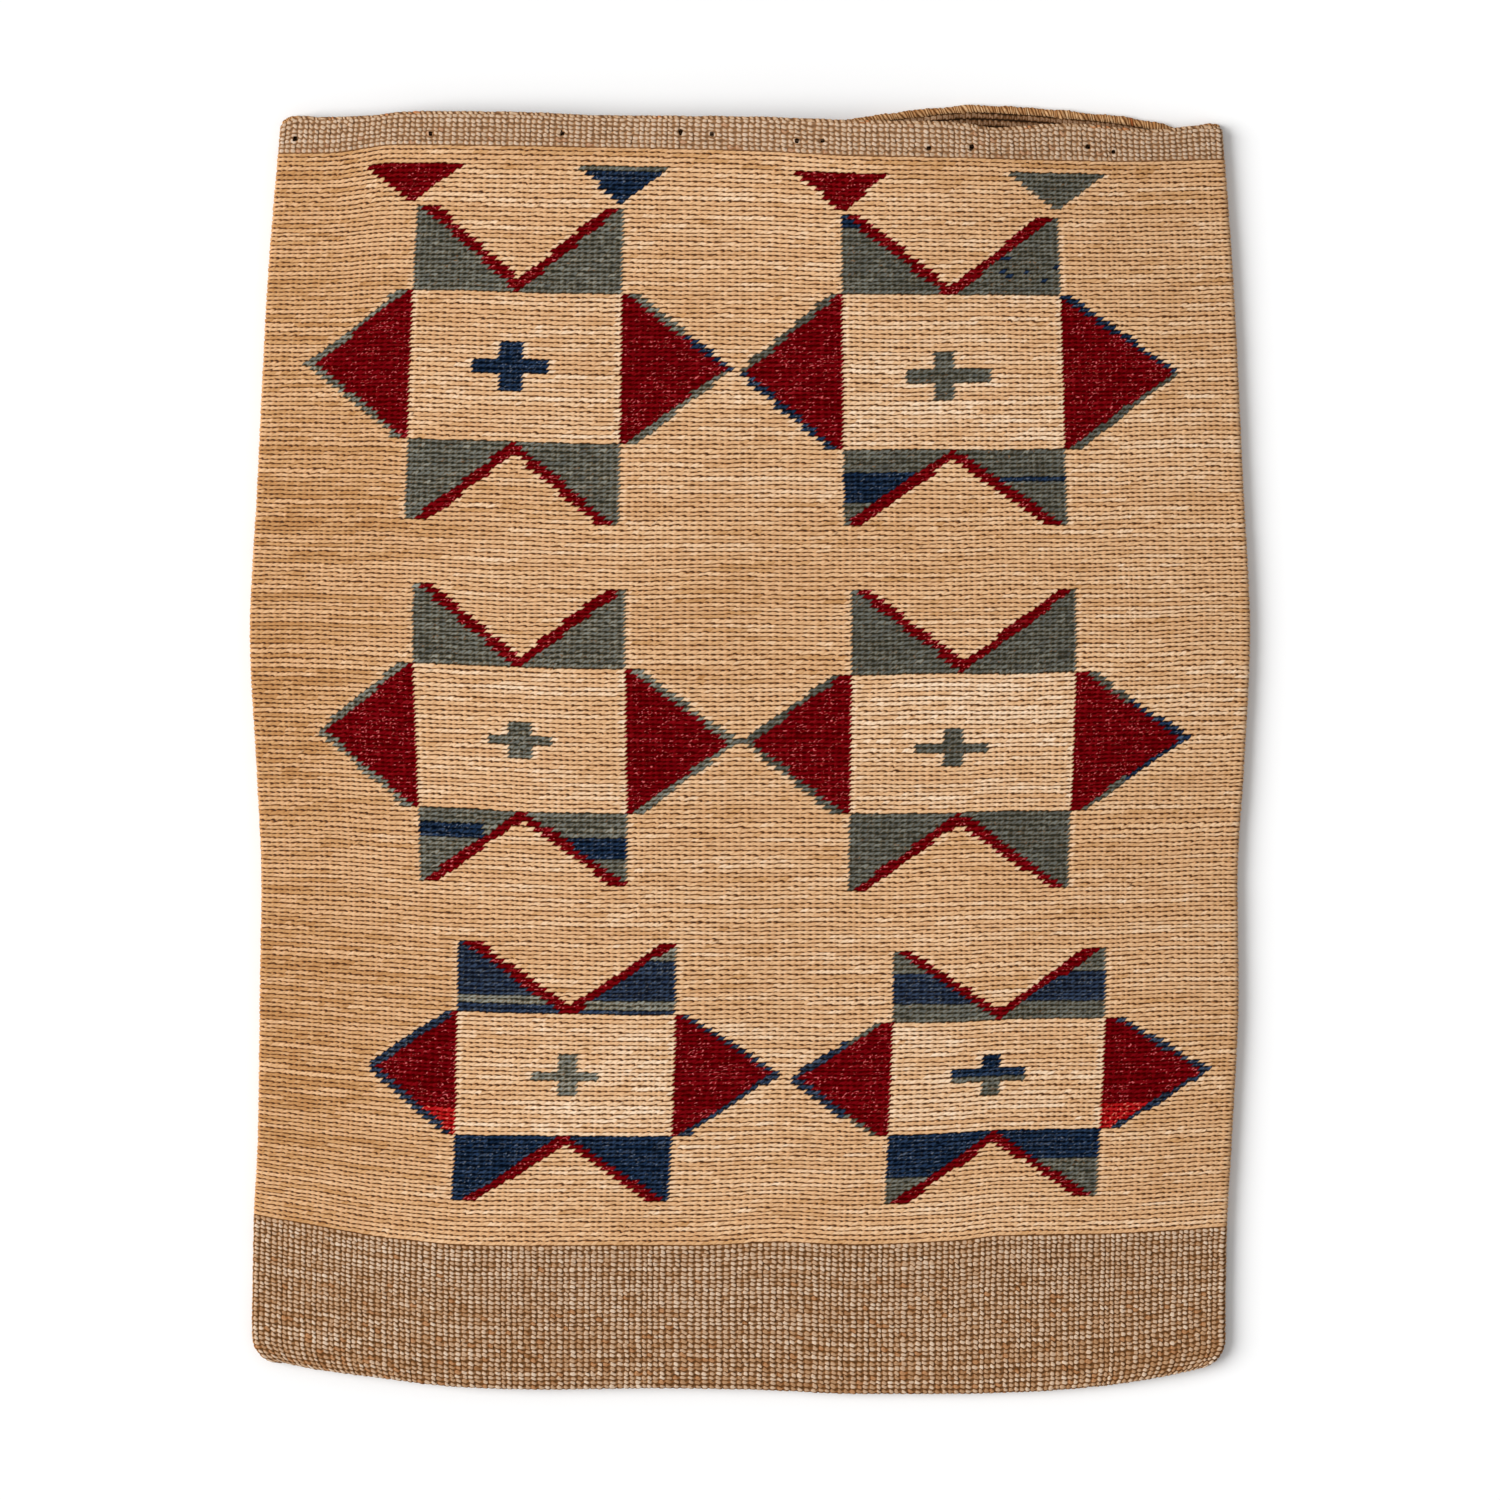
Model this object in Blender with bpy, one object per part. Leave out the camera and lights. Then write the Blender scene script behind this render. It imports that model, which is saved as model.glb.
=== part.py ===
"""A flat twined bag: hemp foundation, corn husk facing and wool figures.

The bag lies on its back.  +X is to the right of the photographed face, +Y
runs from the bottom fold to the mouth and +Z points up out of that face.
Every layer is cut flat from its own outline, is divided by one shared grid,
and is then raised over the space inside the bag by one rule, raise_leaf.
"""

import math

import bmesh
import bpy
from mathutils import Vector

# Overall size of the bag, and of the room inside it
BAG_LENGTH = 0.5592
BAG_WIDTH = 0.4335
CROWN_HEIGHT = 0.0090
CROWN_RUN = 0.0900
GAPE_HEIGHT = 0.0050
GAPE_HALF_WIDTH = 0.1500
GAPE_LENGTH = 0.1500
GAPE_PLACE_SHARE = 0.34
CROWN_POWER = 2.5

# Layers of the fabric
HEMP_THICK = 0.0010
HUSK_THICK = 0.0012
CLEARANCE = 0.0003

# Edges
RIM_WIDTH = 0.0038
RIM_ROUND = 0.0010
CORNER_RADIUS = 0.0120
BOTTOM_ROUND = 0.0016
BOTTOM_FOLD = 0.0050
LACING_HOLE_RADIUS = 0.0011
OVERRUN = 0.0100

# Wool figures
BRIDGE = 0.0008
VEE_MARGIN = 0.0018
VEE_WIDTH = 0.0070
VEE_FOOT = 0.0016
CROSS_ARM_THICK = 0.0046
CROSS_UPRIGHT = 0.0085

# Division of the layers into facets
FACET = 0.0245
SNAP = 0.000002
MERGE = 0.00002
SAME_PLANE_DEGREES = 0.1
CORNER_STEP_DEGREES = 22.5
HOLE_STEP_DEGREES = 45.0

# Colours and roughness of the fibres
HUSK_COLOUR = (0.66, 0.46, 0.25, 1.0)
HEMP_COLOUR = (0.38, 0.26, 0.16, 1.0)
RIM_COLOUR = (0.45, 0.29, 0.13, 1.0)
RED_WOOL = (0.26, 0.006, 0.012, 1.0)
GREEN_WOOL = (0.11, 0.15, 0.12, 1.0)
NAVY_WOOL = (0.02, 0.035, 0.12, 1.0)
SLATE_WOOL = (0.045, 0.075, 0.13, 1.0)
HUSK_ROUGHNESS = 0.65
HEMP_ROUGHNESS = 0.9
RIM_ROUGHNESS = 0.8
WOOL_ROUGHNESS = 0.95

HALF_LENGTH = BAG_LENGTH / 2
HALF_WIDTH = BAG_WIDTH / 2
LEAF_THICK = HEMP_THICK + CLEARANCE + HUSK_THICK
BACK_HEMP_LEVEL = HUSK_THICK + CLEARANCE
FRONT_LEVEL = LEAF_THICK + CLEARANCE
FRONT_HUSK_LEVEL = FRONT_LEVEL + HEMP_THICK + CLEARANCE
TOP_LEVEL = FRONT_LEVEL + LEAF_THICK
SPLIT_LEVEL = LEAF_THICK + CLEARANCE / 2
WALL_TOP = FRONT_HUSK_LEVEL - CLEARANCE

# Side edges: reach from the middle line, in shares of half the width,
# at levels in shares of half the length
SIDE_LEVEL_SHARES = (-1.0, -0.90, -0.74, -0.60, -0.37, -0.20, -0.04, 0.18, 0.40, 0.72, 0.98)
LEFT_REACH_SHARES = (
    0.996, 0.996, 0.993, 0.984, 0.980, 0.977, 0.986, 1.0, 0.986, 0.965, 0.938)
RIGHT_REACH_SHARES = (
    0.951, 0.951, 0.954, 0.964, 0.977, 0.975, 0.987, 1.0, 0.987, 0.967, 0.943)

# Lines that cross the bag: places in shares of half the width,
# levels in shares of half the length
BOTTOM_PLACE_SHARES = (
    -0.96, -0.90, -0.74, -0.58, -0.42, -0.18, 0.0, 0.22, 0.38, 0.54, 0.70, 0.86, 0.95)
BOTTOM_SHARES = (
    -0.952, -0.960, -0.975, -0.989, -0.993, -0.991, -0.993, -1.0, -1.0, -0.997, -0.988,
    -0.971, -0.958)
LOW_LINE_PLACE_SHARES = (-1.0, -0.90, -0.70, -0.54, -0.10, 0.06, 0.20, 0.40, 0.50, 0.70, 0.95)
LOW_LINE_SHARES = (
    -0.719, -0.733, -0.758, -0.769, -0.768, -0.763, -0.767, -0.761, -0.753, -0.751, -0.741)
HIGH_LINE_PLACE_SHARES = (-0.95, -0.84, -0.70, -0.50, 0.0, 0.20, 0.40, 0.72, 0.95)
HIGH_LINE_SHARES = (0.924, 0.924, 0.936, 0.934, 0.925, 0.917, 0.914, 0.910, 0.915)
FRONT_LIP_PLACE_SHARES = (
    -0.94, -0.90, -0.86, -0.76, -0.68, -0.50, -0.30, 0.0, 0.20, 0.40, 0.49, 0.64, 0.80, 0.92)
FRONT_LIP_SHARES = (
    0.974, 0.983, 0.980, 0.982, 0.988, 0.987, 0.981, 0.978, 0.972, 0.969, 0.961, 0.968,
    0.960, 0.970)
BACK_LIP_PLACE_SHARES = (-0.94, -0.60, 0.10, 0.24, 0.34, 0.45, 0.56, 0.66, 0.73, 0.80, 0.95)
BACK_LIP_SHARES = (0.970, 0.972, 0.970, 0.983, 0.993, 1.0, 0.996, 0.989, 0.984, 0.975, 0.962)

# Lacing holes in the front top band: place along the width, and place
# between the band's lower line and its lip
LACING_HOLE_SHARES = (
    (-0.910, 0.50), (-0.638, 0.45), (-0.374, 0.55), (-0.138, 0.68), (-0.076, 0.60),
    (0.094, 0.48), (0.144, 0.52), (0.356, 0.33), (0.442, 0.42), (0.674, 0.50), (0.726, 0.36),
)

# Stars: middle of the box, half the block, half the box, upper wings,
# lower wings, left reach and right reach; widths in shares of half the
# width, heights in shares of half the length
TOP_LEFT_STAR_SHARES = (-0.467, 0.592, 0.208, 0.118, 0.127, 0.122, 0.210, 0.222)
TOP_RIGHT_STAR_SHARES = (0.402, 0.581, 0.220, 0.1186, 0.1225, 0.1147, 0.202, 0.234)
MIDDLE_LEFT_STAR_SHARES = (-0.457, 0.015, 0.213, 0.111, 0.1225, 0.110, 0.192, 0.216)
MIDDLE_RIGHT_STAR_SHARES = (0.423, 0.010, 0.225, 0.111, 0.123, 0.113, 0.210, 0.226)
BOTTOM_LEFT_STAR_SHARES = (-0.366, -0.505, 0.218, 0.0938, 0.1085, 0.1023, 0.178, 0.204)
BOTTOM_RIGHT_STAR_SHARES = (0.492, -0.504, 0.216, 0.0884, 0.107, 0.1054, 0.196, 0.208)
STARS = {
    "top_left": TOP_LEFT_STAR_SHARES,
    "top_right": TOP_RIGHT_STAR_SHARES,
    "middle_left": MIDDLE_LEFT_STAR_SHARES,
    "middle_right": MIDDLE_RIGHT_STAR_SHARES,
    "bottom_left": BOTTOM_LEFT_STAR_SHARES,
    "bottom_right": BOTTOM_RIGHT_STAR_SHARES,
}

# Crosses: how far right of and above the middle of the box, half the arms
# and half the upright, in shares of half the block and half the box
TOP_LEFT_CROSS_SHARES = (-0.057, 0.0, 0.389, 0.332)
TOP_RIGHT_CROSS_SHARES = (-0.043, -0.027, 0.375, 0.309)
MIDDLE_LEFT_CROSS_SHARES = (-0.009, -0.023, 0.324, 0.265)
MIDDLE_RIGHT_CROSS_SHARES = (-0.075, -0.054, 0.320, 0.272)
BOTTOM_LEFT_CROSS_SHARES = (-0.018, -0.010, 0.299, 0.335)
BOTTOM_RIGHT_CROSS_SHARES = (-0.065, 0.021, 0.338, 0.348)
CROSSES = {
    "top_left": TOP_LEFT_CROSS_SHARES,
    "top_right": TOP_RIGHT_CROSS_SHARES,
    "middle_left": MIDDLE_LEFT_CROSS_SHARES,
    "middle_right": MIDDLE_RIGHT_CROSS_SHARES,
    "bottom_left": BOTTOM_LEFT_CROSS_SHARES,
    "bottom_right": BOTTOM_RIGHT_CROSS_SHARES,
}
STAR_WOOLS = {
    "top_left": (NAVY_WOOL, GREEN_WOOL, GREEN_WOOL),
    "top_right": (GREEN_WOOL, GREEN_WOOL, GREEN_WOOL),
    "middle_left": (GREEN_WOOL, GREEN_WOOL, GREEN_WOOL),
    "middle_right": (GREEN_WOOL, GREEN_WOOL, GREEN_WOOL),
    "bottom_left": (GREEN_WOOL, SLATE_WOOL, NAVY_WOOL),
    "bottom_right": (NAVY_WOOL, SLATE_WOOL, NAVY_WOOL),
}

# Triangles in the top row: middle and upper edge, half the width, height
TRIANGLE_SHARES = (
    (-0.670, 0.905, 0.086, 0.0605),
    (-0.254, 0.899, 0.090, 0.0558),
    (0.181, 0.888, 0.091, 0.0550),
    (0.613, 0.888, 0.097, 0.0527),
)
TRIANGLE_WOOLS = (RED_WOOL, NAVY_WOOL, RED_WOOL, GREEN_WOOL)


def clear_scene():
    """Empty the scene of objects."""
    for old in list(bpy.data.objects):
        bpy.data.objects.remove(old, do_unlink=True)


def new_collection(name):
    """A collection linked to the scene."""
    collection = bpy.data.collections.new(name)
    bpy.context.scene.collection.children.link(collection)
    return collection


def smooth_read(places, values, at):
    """Read a table as one smooth curve that never passes its own values."""
    if at <= places[0]:
        return values[0]
    if at >= places[-1]:
        return values[-1]
    slopes = []
    for i in range(len(places) - 1):
        slopes.append((values[i + 1] - values[i]) / (places[i + 1] - places[i]))
    tangents = [slopes[0]]
    for before, after in zip(slopes, slopes[1:]):
        product = before * after
        tangents.append(2 * product / (before + after) if product > 0 else 0.0)
    tangents.append(slopes[-1])
    i = max(k for k in range(len(places) - 1) if places[k] <= at)
    step = places[i + 1] - places[i]
    t = (at - places[i]) / step
    rise = t * t * (3 - 2 * t)
    bend = tangents[i] * t * (1 - t) ** 2 - tangents[i + 1] * t * t * (1 - t)
    return values[i] + (values[i + 1] - values[i]) * rise + step * bend


def left_side(y):
    """Left edge of the bag at a level."""
    return -HALF_WIDTH * smooth_read(SIDE_LEVEL_SHARES, LEFT_REACH_SHARES, y / HALF_LENGTH)


def right_side(y):
    """Right edge of the bag at a level."""
    return HALF_WIDTH * smooth_read(SIDE_LEVEL_SHARES, RIGHT_REACH_SHARES, y / HALF_LENGTH)


def crossing_line(place_shares, level_shares):
    """A function that gives the level of one crossing line at x."""
    def level(x):
        return HALF_LENGTH * smooth_read(place_shares, level_shares, x / HALF_WIDTH)
    return level


bottom_line = crossing_line(BOTTOM_PLACE_SHARES, BOTTOM_SHARES)
low_line = crossing_line(LOW_LINE_PLACE_SHARES, LOW_LINE_SHARES)
high_line = crossing_line(HIGH_LINE_PLACE_SHARES, HIGH_LINE_SHARES)
front_lip = crossing_line(FRONT_LIP_PLACE_SHARES, FRONT_LIP_SHARES)
back_lip = crossing_line(BACK_LIP_PLACE_SHARES, BACK_LIP_SHARES)


def raise_leaf(x, y):
    """How far the front leaf stands above its folded level at a place.

    A crown over the whole width, which fades into the bottom fold, and a
    wide bump at the right of the mouth, where the lips gape.
    """
    left = left_side(y)
    right = right_side(y)
    across = abs(2 * x - left - right) / (right - left)
    along = min(max((y + HALF_LENGTH) / CROWN_RUN, 0.0), 1.0)
    crown = CROWN_HEIGHT * max(1 - across ** CROWN_POWER, 0.0) * (1 - (1 - along) ** CROWN_POWER)
    away_x = min(abs(x - GAPE_PLACE_SHARE * HALF_WIDTH) / GAPE_HALF_WIDTH, 1.0)
    away_y = min(max(HALF_LENGTH - y, 0.0) / GAPE_LENGTH, 1.0)
    bump_x = (1 + math.cos(math.pi * away_x)) / 2
    bump_y = (1 + math.cos(math.pi * away_y)) / 2
    return crown + GAPE_HEIGHT * bump_x * bump_y


def spread(low, high, step):
    """Evenly spaced numbers from low to high, about one step apart."""
    count = max(1, round((high - low) / step))
    return [low + (high - low) * i / count for i in range(count + 1)]


def shared_places(low, high, half_size):
    """Places of the shared grid that lie between two ends."""
    grid = spread(-half_size, half_size, FACET)
    return [place for place in grid if low + CLEARANCE < place < high - CLEARANCE]


def region(lower, upper, side_inset=0.0, low_inset=0.0, high_inset=0.0):
    """Outline of the fabric between two crossing lines, anticlockwise."""
    def side_points(side, sign):
        foot = lower(side(lower(side(0.0)))) + low_inset
        head = upper(side(upper(side(0.0)))) - high_inset
        levels = [foot] + shared_places(foot, head, HALF_LENGTH) + [head]
        return [(side(y) - sign * side_inset, y) for y in levels]

    left = side_points(left_side, -1)
    right = side_points(right_side, 1)
    points = [(x, lower(x) + low_inset) for x in shared_places(left[0][0], right[0][0], HALF_WIDTH)]
    points += right
    ceiling = shared_places(left[-1][0], right[-1][0], HALF_WIDTH)
    points += [(x, upper(x) - high_inset) for x in reversed(ceiling)]
    points += list(reversed(left))
    return points


def pouch(upper, inset, high_inset):
    """Outline of the bottom of the bag, with round corners, up to a line."""
    radius = CORNER_RADIUS
    walls = []
    for side, sign in ((left_side, -1), (right_side, 1)):
        corner_x = side(-HALF_LENGTH) - sign * (inset + radius)
        corner_y = bottom_line(corner_x) + inset + radius
        wall = []
        for turn in spread(0.0, 90.0, CORNER_STEP_DEGREES):
            angle = math.radians(turn)
            wall.append((
                corner_x + sign * radius * math.sin(angle),
                corner_y - radius * math.cos(angle),
            ))
        head = upper(side(upper(side(0.0)))) - high_inset
        levels = shared_places(corner_y, head, HALF_LENGTH) + [head]
        walls.append(wall + [(side(y) - sign * inset, y) for y in levels])
    left, right = walls
    floor = shared_places(left[0][0], right[0][0], HALF_WIDTH)
    outline = [(x, bottom_line(x) + inset) for x in floor]
    outline += right
    ceiling = shared_places(left[-1][0], right[-1][0], HALF_WIDTH)
    outline += [(x, upper(x) - high_inset) for x in reversed(ceiling)]
    outline += list(reversed(left))
    return outline


def drawn_in(points, distance):
    """The same outline moved inwards by a distance on every side."""
    moved = []
    count = len(points)
    for i, here in enumerate(points):
        before = Vector(points[i - 1])
        after = Vector(points[(i + 1) % count])
        here = Vector(here)
        along_in = (here - before).normalized()
        along_out = (after - here).normalized()
        normal_in = Vector((-along_in.y, along_in.x))
        normal_out = Vector((-along_out.y, along_out.x))
        shift = (normal_in + normal_out) / (1 + normal_in.dot(normal_out))
        moved.append(tuple(here + shift * distance))
    return moved


def slab(name, outline, low, high, rounding=0.0):
    """A closed flat mesh: an outline extruded from one level to another."""
    curve = bpy.data.curves.new(name, "CURVE")
    curve.dimensions = "2D"
    curve.fill_mode = "BOTH"
    curve.extrude = (high - low) / 2 - rounding
    curve.bevel_depth = rounding
    curve.bevel_resolution = 1
    curve.offset = -rounding
    spline = curve.splines.new("POLY")
    spline.points.add(len(outline) - 1)
    for point, (x, y) in zip(spline.points, outline):
        point.co = (x, y, 0, 1)
    spline.use_cyclic_u = True
    shape = bpy.data.objects.new(name, curve)
    shape.location.z = (low + high) / 2
    bpy.context.scene.collection.objects.link(shape)
    bpy.context.view_layer.update()
    graph = bpy.context.evaluated_depsgraph_get()
    mesh = bpy.data.meshes.new_from_object(shape.evaluated_get(graph))
    mesh.transform(shape.matrix_world)
    bpy.data.objects.remove(shape, do_unlink=True)
    bpy.data.curves.remove(curve)
    edit = bmesh.new()
    edit.from_mesh(mesh)
    bmesh.ops.remove_doubles(edit, verts=edit.verts, dist=MERGE)
    bmesh.ops.dissolve_limit(
        edit, angle_limit=math.radians(SAME_PLANE_DEGREES), verts=edit.verts, edges=edit.edges)
    edit.to_mesh(mesh)
    edit.free()
    return mesh


def divide(mesh):
    """Cut a flat mesh along the shared grid, so that it can be raised."""
    edit = bmesh.new()
    edit.from_mesh(mesh)
    lines = [("X", x) for x in spread(-HALF_WIDTH, HALF_WIDTH, FACET)[1:-1]]
    lines += [("Y", y) for y in spread(-HALF_LENGTH, HALF_LENGTH, FACET)[1:-1]]
    for axis, place in lines:
        across = Vector((1, 0, 0)) if axis == "X" else Vector((0, 1, 0))
        bmesh.ops.bisect_plane(
            edit, geom=edit.verts[:] + edit.edges[:] + edit.faces[:],
            dist=SNAP, plane_co=across * place, plane_no=across)
    edit.to_mesh(mesh)
    edit.free()


def put_cutters(name, meshes, collection):
    """One hidden object that holds several separate cutter meshes."""
    edit = bmesh.new()
    for mesh in meshes:
        edit.from_mesh(mesh)
    joined = bpy.data.meshes.new(name)
    edit.to_mesh(joined)
    edit.free()
    cutter = bpy.data.objects.new(name, joined)
    cutter.hide_render = True
    cutter.display_type = "WIRE"
    collection.objects.link(cutter)
    return cutter


def cut(mesh, cutter):
    """The mesh that is left when the cutter is taken away."""
    blank = bpy.data.objects.new("blank", mesh)
    bpy.context.scene.collection.objects.link(blank)
    modifier = blank.modifiers.new("cut", "BOOLEAN")
    modifier.operation = "DIFFERENCE"
    modifier.solver = "EXACT"
    modifier.object = cutter
    bpy.context.view_layer.update()
    graph = bpy.context.evaluated_depsgraph_get()
    result = bpy.data.meshes.new_from_object(blank.evaluated_get(graph))
    bpy.data.objects.remove(blank, do_unlink=True)
    return result


def paint(piece, colour, roughness):
    """Give a piece its own matt fibre material."""
    material = bpy.data.materials.new(piece.name)
    material.use_nodes = True
    shader = material.node_tree.nodes["Principled BSDF"]
    shader.inputs["Base Color"].default_value = colour
    shader.inputs["Roughness"].default_value = roughness
    shader.inputs["Metallic"].default_value = 0.0
    piece.data.materials.clear()
    piece.data.materials.append(material)


def add_piece(name, mesh, colour, roughness, collection, hinge=None):
    """Raise a flat mesh over the inside of the bag and add it as a node."""
    edit = bmesh.new()
    edit.from_mesh(mesh)
    bmesh.ops.triangulate(edit, faces=edit.faces, quad_method="BEAUTY", ngon_method="BEAUTY")
    for vert in edit.verts:
        if vert.co.z > SPLIT_LEVEL:
            vert.co.z += raise_leaf(vert.co.x, vert.co.y)
    bmesh.ops.recalc_face_normals(edit, faces=edit.faces)
    edit.to_mesh(mesh)
    edit.free()
    mesh.name = name
    piece = bpy.data.objects.new(name, mesh)
    collection.objects.link(piece)
    if hinge is not None:
        mesh.transform(hinge.matrix_world.inverted())
        piece.parent = hinge
    paint(piece, colour, roughness)
    return piece


def add_hinge(collection):
    """The line about which the front leaf lifts, as an empty on it.

    It lies along X on the outer face, at the lowest point of the line where
    the leaf meets the bottom band, so the leaf's end swings away from it.
    """
    hinge = bpy.data.objects.new("mouth_hinge", None)
    places = spread(-HALF_WIDTH, HALF_WIDTH, FACET)
    lowest = min(low_line(x) for x in places)
    highest = max(raise_leaf(x, low_line(x)) for x in places)
    hinge.location = (0.0, lowest, TOP_LEVEL + highest)
    collection.objects.link(hinge)
    bpy.context.view_layer.update()
    return hinge


def triangle_outline(shares):
    """Outline of one inverted triangle of the top row."""
    middle, top, half, height = shares
    x = middle * HALF_WIDTH
    y = top * HALF_LENGTH
    reach = half * HALF_WIDTH
    return [(x, y - height * HALF_LENGTH), (x + reach, y), (x - reach, y)]


def star_outlines(shares, cross_shares):
    """Windows and pieces of one star, as anticlockwise outlines.

    The box in the middle stays husk.  Above and below it stand blocks with
    a vee cut into them, and at each side a point.
    """
    x, y = shares[0] * HALF_WIDTH, shares[1] * HALF_LENGTH
    block, box = shares[2] * HALF_WIDTH, shares[3] * HALF_LENGTH
    windows = {}
    pieces = {}
    for label, sign, wing_share in (("upper", 1, shares[4]), ("lower", -1, shares[5])):
        wing = wing_share * HALF_LENGTH
        base = y + sign * box
        top = base + sign * wing
        mark = VEE_MARGIN + VEE_WIDTH
        slope = (wing - VEE_FOOT) / (block - VEE_MARGIN)
        dip = base + sign * (VEE_FOOT + VEE_WIDTH * slope)
        foot = base + sign * VEE_FOOT
        window = [
            (x - block, base), (x + block, base), (x + block, top),
            (x + block - mark, top), (x, dip), (x - block + mark, top), (x - block, top),
        ]
        wings = [
            (x - block, base), (x + block, base), (x + block, top),
            (x + block - VEE_MARGIN, top), (x, foot), (x - block + VEE_MARGIN, top),
            (x - block, top),
        ]
        vee = [
            (x, foot), (x + block - VEE_MARGIN, top), (x + block - mark, top),
            (x, dip), (x - block + mark, top), (x - block + VEE_MARGIN, top),
        ]
        if sign < 0:
            window.reverse()
            wings.reverse()
            vee.reverse()
        windows[label] = window
        pieces[label + "_wings"] = drawn_in(wings, CLEARANCE)
        pieces[label + "_vee"] = drawn_in(vee, CLEARANCE)
    for label, sign, reach_share in (("left", -1, shares[6]), ("right", 1, shares[7])):
        edge = x + sign * (block + BRIDGE)
        tip = x + sign * (block + reach_share * HALF_WIDTH)
        half = box - BRIDGE
        point = [(edge, y - half), (tip, y), (edge, y + half)]
        if sign < 0:
            point.reverse()
        windows[label] = point
        pieces[label + "_point"] = drawn_in(point, CLEARANCE)
    x += cross_shares[0] * block
    y += cross_shares[1] * box
    arm = cross_shares[2] * block
    rise = cross_shares[3] * box
    thick = CROSS_ARM_THICK / 2
    upright = CROSS_UPRIGHT / 2
    cross = [
        (x - upright, y - rise), (x + upright, y - rise), (x + upright, y - thick),
        (x + arm, y - thick), (x + arm, y + thick), (x + upright, y + thick),
        (x + upright, y + rise), (x - upright, y + rise), (x - upright, y + thick),
        (x - arm, y + thick), (x - arm, y - thick), (x - upright, y - thick),
    ]
    windows["cross"] = cross
    pieces["cross"] = drawn_in(cross, CLEARANCE)
    return windows, pieces


def lacing_hole(shares):
    """Round outline of one lacing hole in the front top band."""
    place, height = shares
    x = place * HALF_WIDTH
    low = high_line(x)
    y = low + height * (front_lip(x) - RIM_WIDTH - low)
    points = []
    for turn in spread(0.0, 360.0, HOLE_STEP_DEGREES)[:-1]:
        angle = math.radians(turn)
        points.append((
            x + LACING_HOLE_RADIUS * math.cos(angle),
            y + LACING_HOLE_RADIUS * math.sin(angle),
        ))
    return points


def make_bottom_band(bag, cutters):
    """Plain hemp cup that closes the bottom: both walls and their folds."""
    outer = slab("bottom_band", pouch(low_line, 0.0, CLEARANCE), 0.0, TOP_LEVEL, BOTTOM_ROUND)
    divide(outer)
    room = slab("room", pouch(low_line, BOTTOM_FOLD, -OVERRUN), LEAF_THICK, FRONT_LEVEL)
    divide(room)
    cutter = put_cutters("bottom_room", [room], cutters)
    add_piece("bottom_band", cut(outer, cutter), HEMP_COLOUR, HEMP_ROUGHNESS, bag)


def make_back(bag, cutters):
    """Back leaf: a husk tray with the side folds, and the hemp inside it."""
    tray = slab("husk_back", region(low_line, high_line), 0.0, WALL_TOP)
    divide(tray)
    room = slab(
        "room", region(low_line, high_line, HUSK_THICK, -OVERRUN, -OVERRUN),
        HUSK_THICK, WALL_TOP + OVERRUN)
    cutter = put_cutters("back_room", [room], cutters)
    add_piece("husk_back", cut(tray, cutter), HUSK_COLOUR, HUSK_ROUGHNESS, bag)
    inset = HUSK_THICK + CLEARANCE
    hemp = slab("hemp_back", region(low_line, high_line, inset), BACK_HEMP_LEVEL, LEAF_THICK)
    add_piece("hemp_back", hemp, HEMP_COLOUR, HEMP_ROUGHNESS, bag)
    band_top = RIM_WIDTH + CLEARANCE
    band = slab(
        "top_band_back", region(high_line, back_lip, 0.0, CLEARANCE, band_top),
        0.0, LEAF_THICK)
    add_piece("top_band_back", band, HEMP_COLOUR, HEMP_ROUGHNESS, bag)
    rim = slab("rim_back", rim_outline(back_lip), 0.0, LEAF_THICK, RIM_ROUND)
    add_piece("rim_back", rim, RIM_COLOUR, RIM_ROUGHNESS, bag)


def rim_outline(lip):
    """The overcast roll along one lip, one rim wide."""
    def foot(x):
        return lip(x) - RIM_WIDTH
    return region(foot, lip)


def make_front(bag, cutters, hinge):
    """Front leaf: hemp, husk with windows, top band with holes, and rim."""
    inset = HUSK_THICK + CLEARANCE
    hemp = slab(
        "hemp_front", region(low_line, high_line, inset),
        FRONT_LEVEL, FRONT_LEVEL + HEMP_THICK)
    divide(hemp)
    add_piece("hemp_front", hemp, HEMP_COLOUR, HEMP_ROUGHNESS, bag, hinge)

    windows = [triangle_outline(shares) for shares in TRIANGLE_SHARES]
    for star, shares in STARS.items():
        windows += star_outlines(shares, CROSSES[star])[0].values()
    under = FRONT_HUSK_LEVEL - OVERRUN
    prisms = [slab("window", window, under, TOP_LEVEL + OVERRUN) for window in windows]
    cutter = put_cutters("windows", prisms, cutters)
    husk = slab("husk_front", region(low_line, high_line), FRONT_HUSK_LEVEL, TOP_LEVEL)
    divide(husk)
    add_piece("husk_front", cut(husk, cutter), HUSK_COLOUR, HUSK_ROUGHNESS, bag, hinge)

    band_top = RIM_WIDTH + CLEARANCE
    band = slab(
        "top_band_front", region(high_line, front_lip, 0.0, CLEARANCE, band_top),
        FRONT_LEVEL, TOP_LEVEL)
    divide(band)
    under = FRONT_LEVEL - OVERRUN
    holes = [
        slab("hole", lacing_hole(shares), under, TOP_LEVEL + OVERRUN)
        for shares in LACING_HOLE_SHARES
    ]
    cutter = put_cutters("lacing_holes", holes, cutters)
    add_piece("top_band_front", cut(band, cutter), HEMP_COLOUR, HEMP_ROUGHNESS, bag, hinge)

    rim = slab("rim_front", rim_outline(front_lip), FRONT_LEVEL, TOP_LEVEL, RIM_ROUND)
    divide(rim)
    add_piece("rim_front", rim, RIM_COLOUR, RIM_ROUGHNESS, bag, hinge)


def add_wool(name, outline, colour, bag, hinge):
    """One wool figure, set into its window in the husk."""
    mesh = slab(name, outline, FRONT_HUSK_LEVEL, TOP_LEVEL)
    divide(mesh)
    add_piece(name, mesh, colour, WOOL_ROUGHNESS, bag, hinge)


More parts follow.
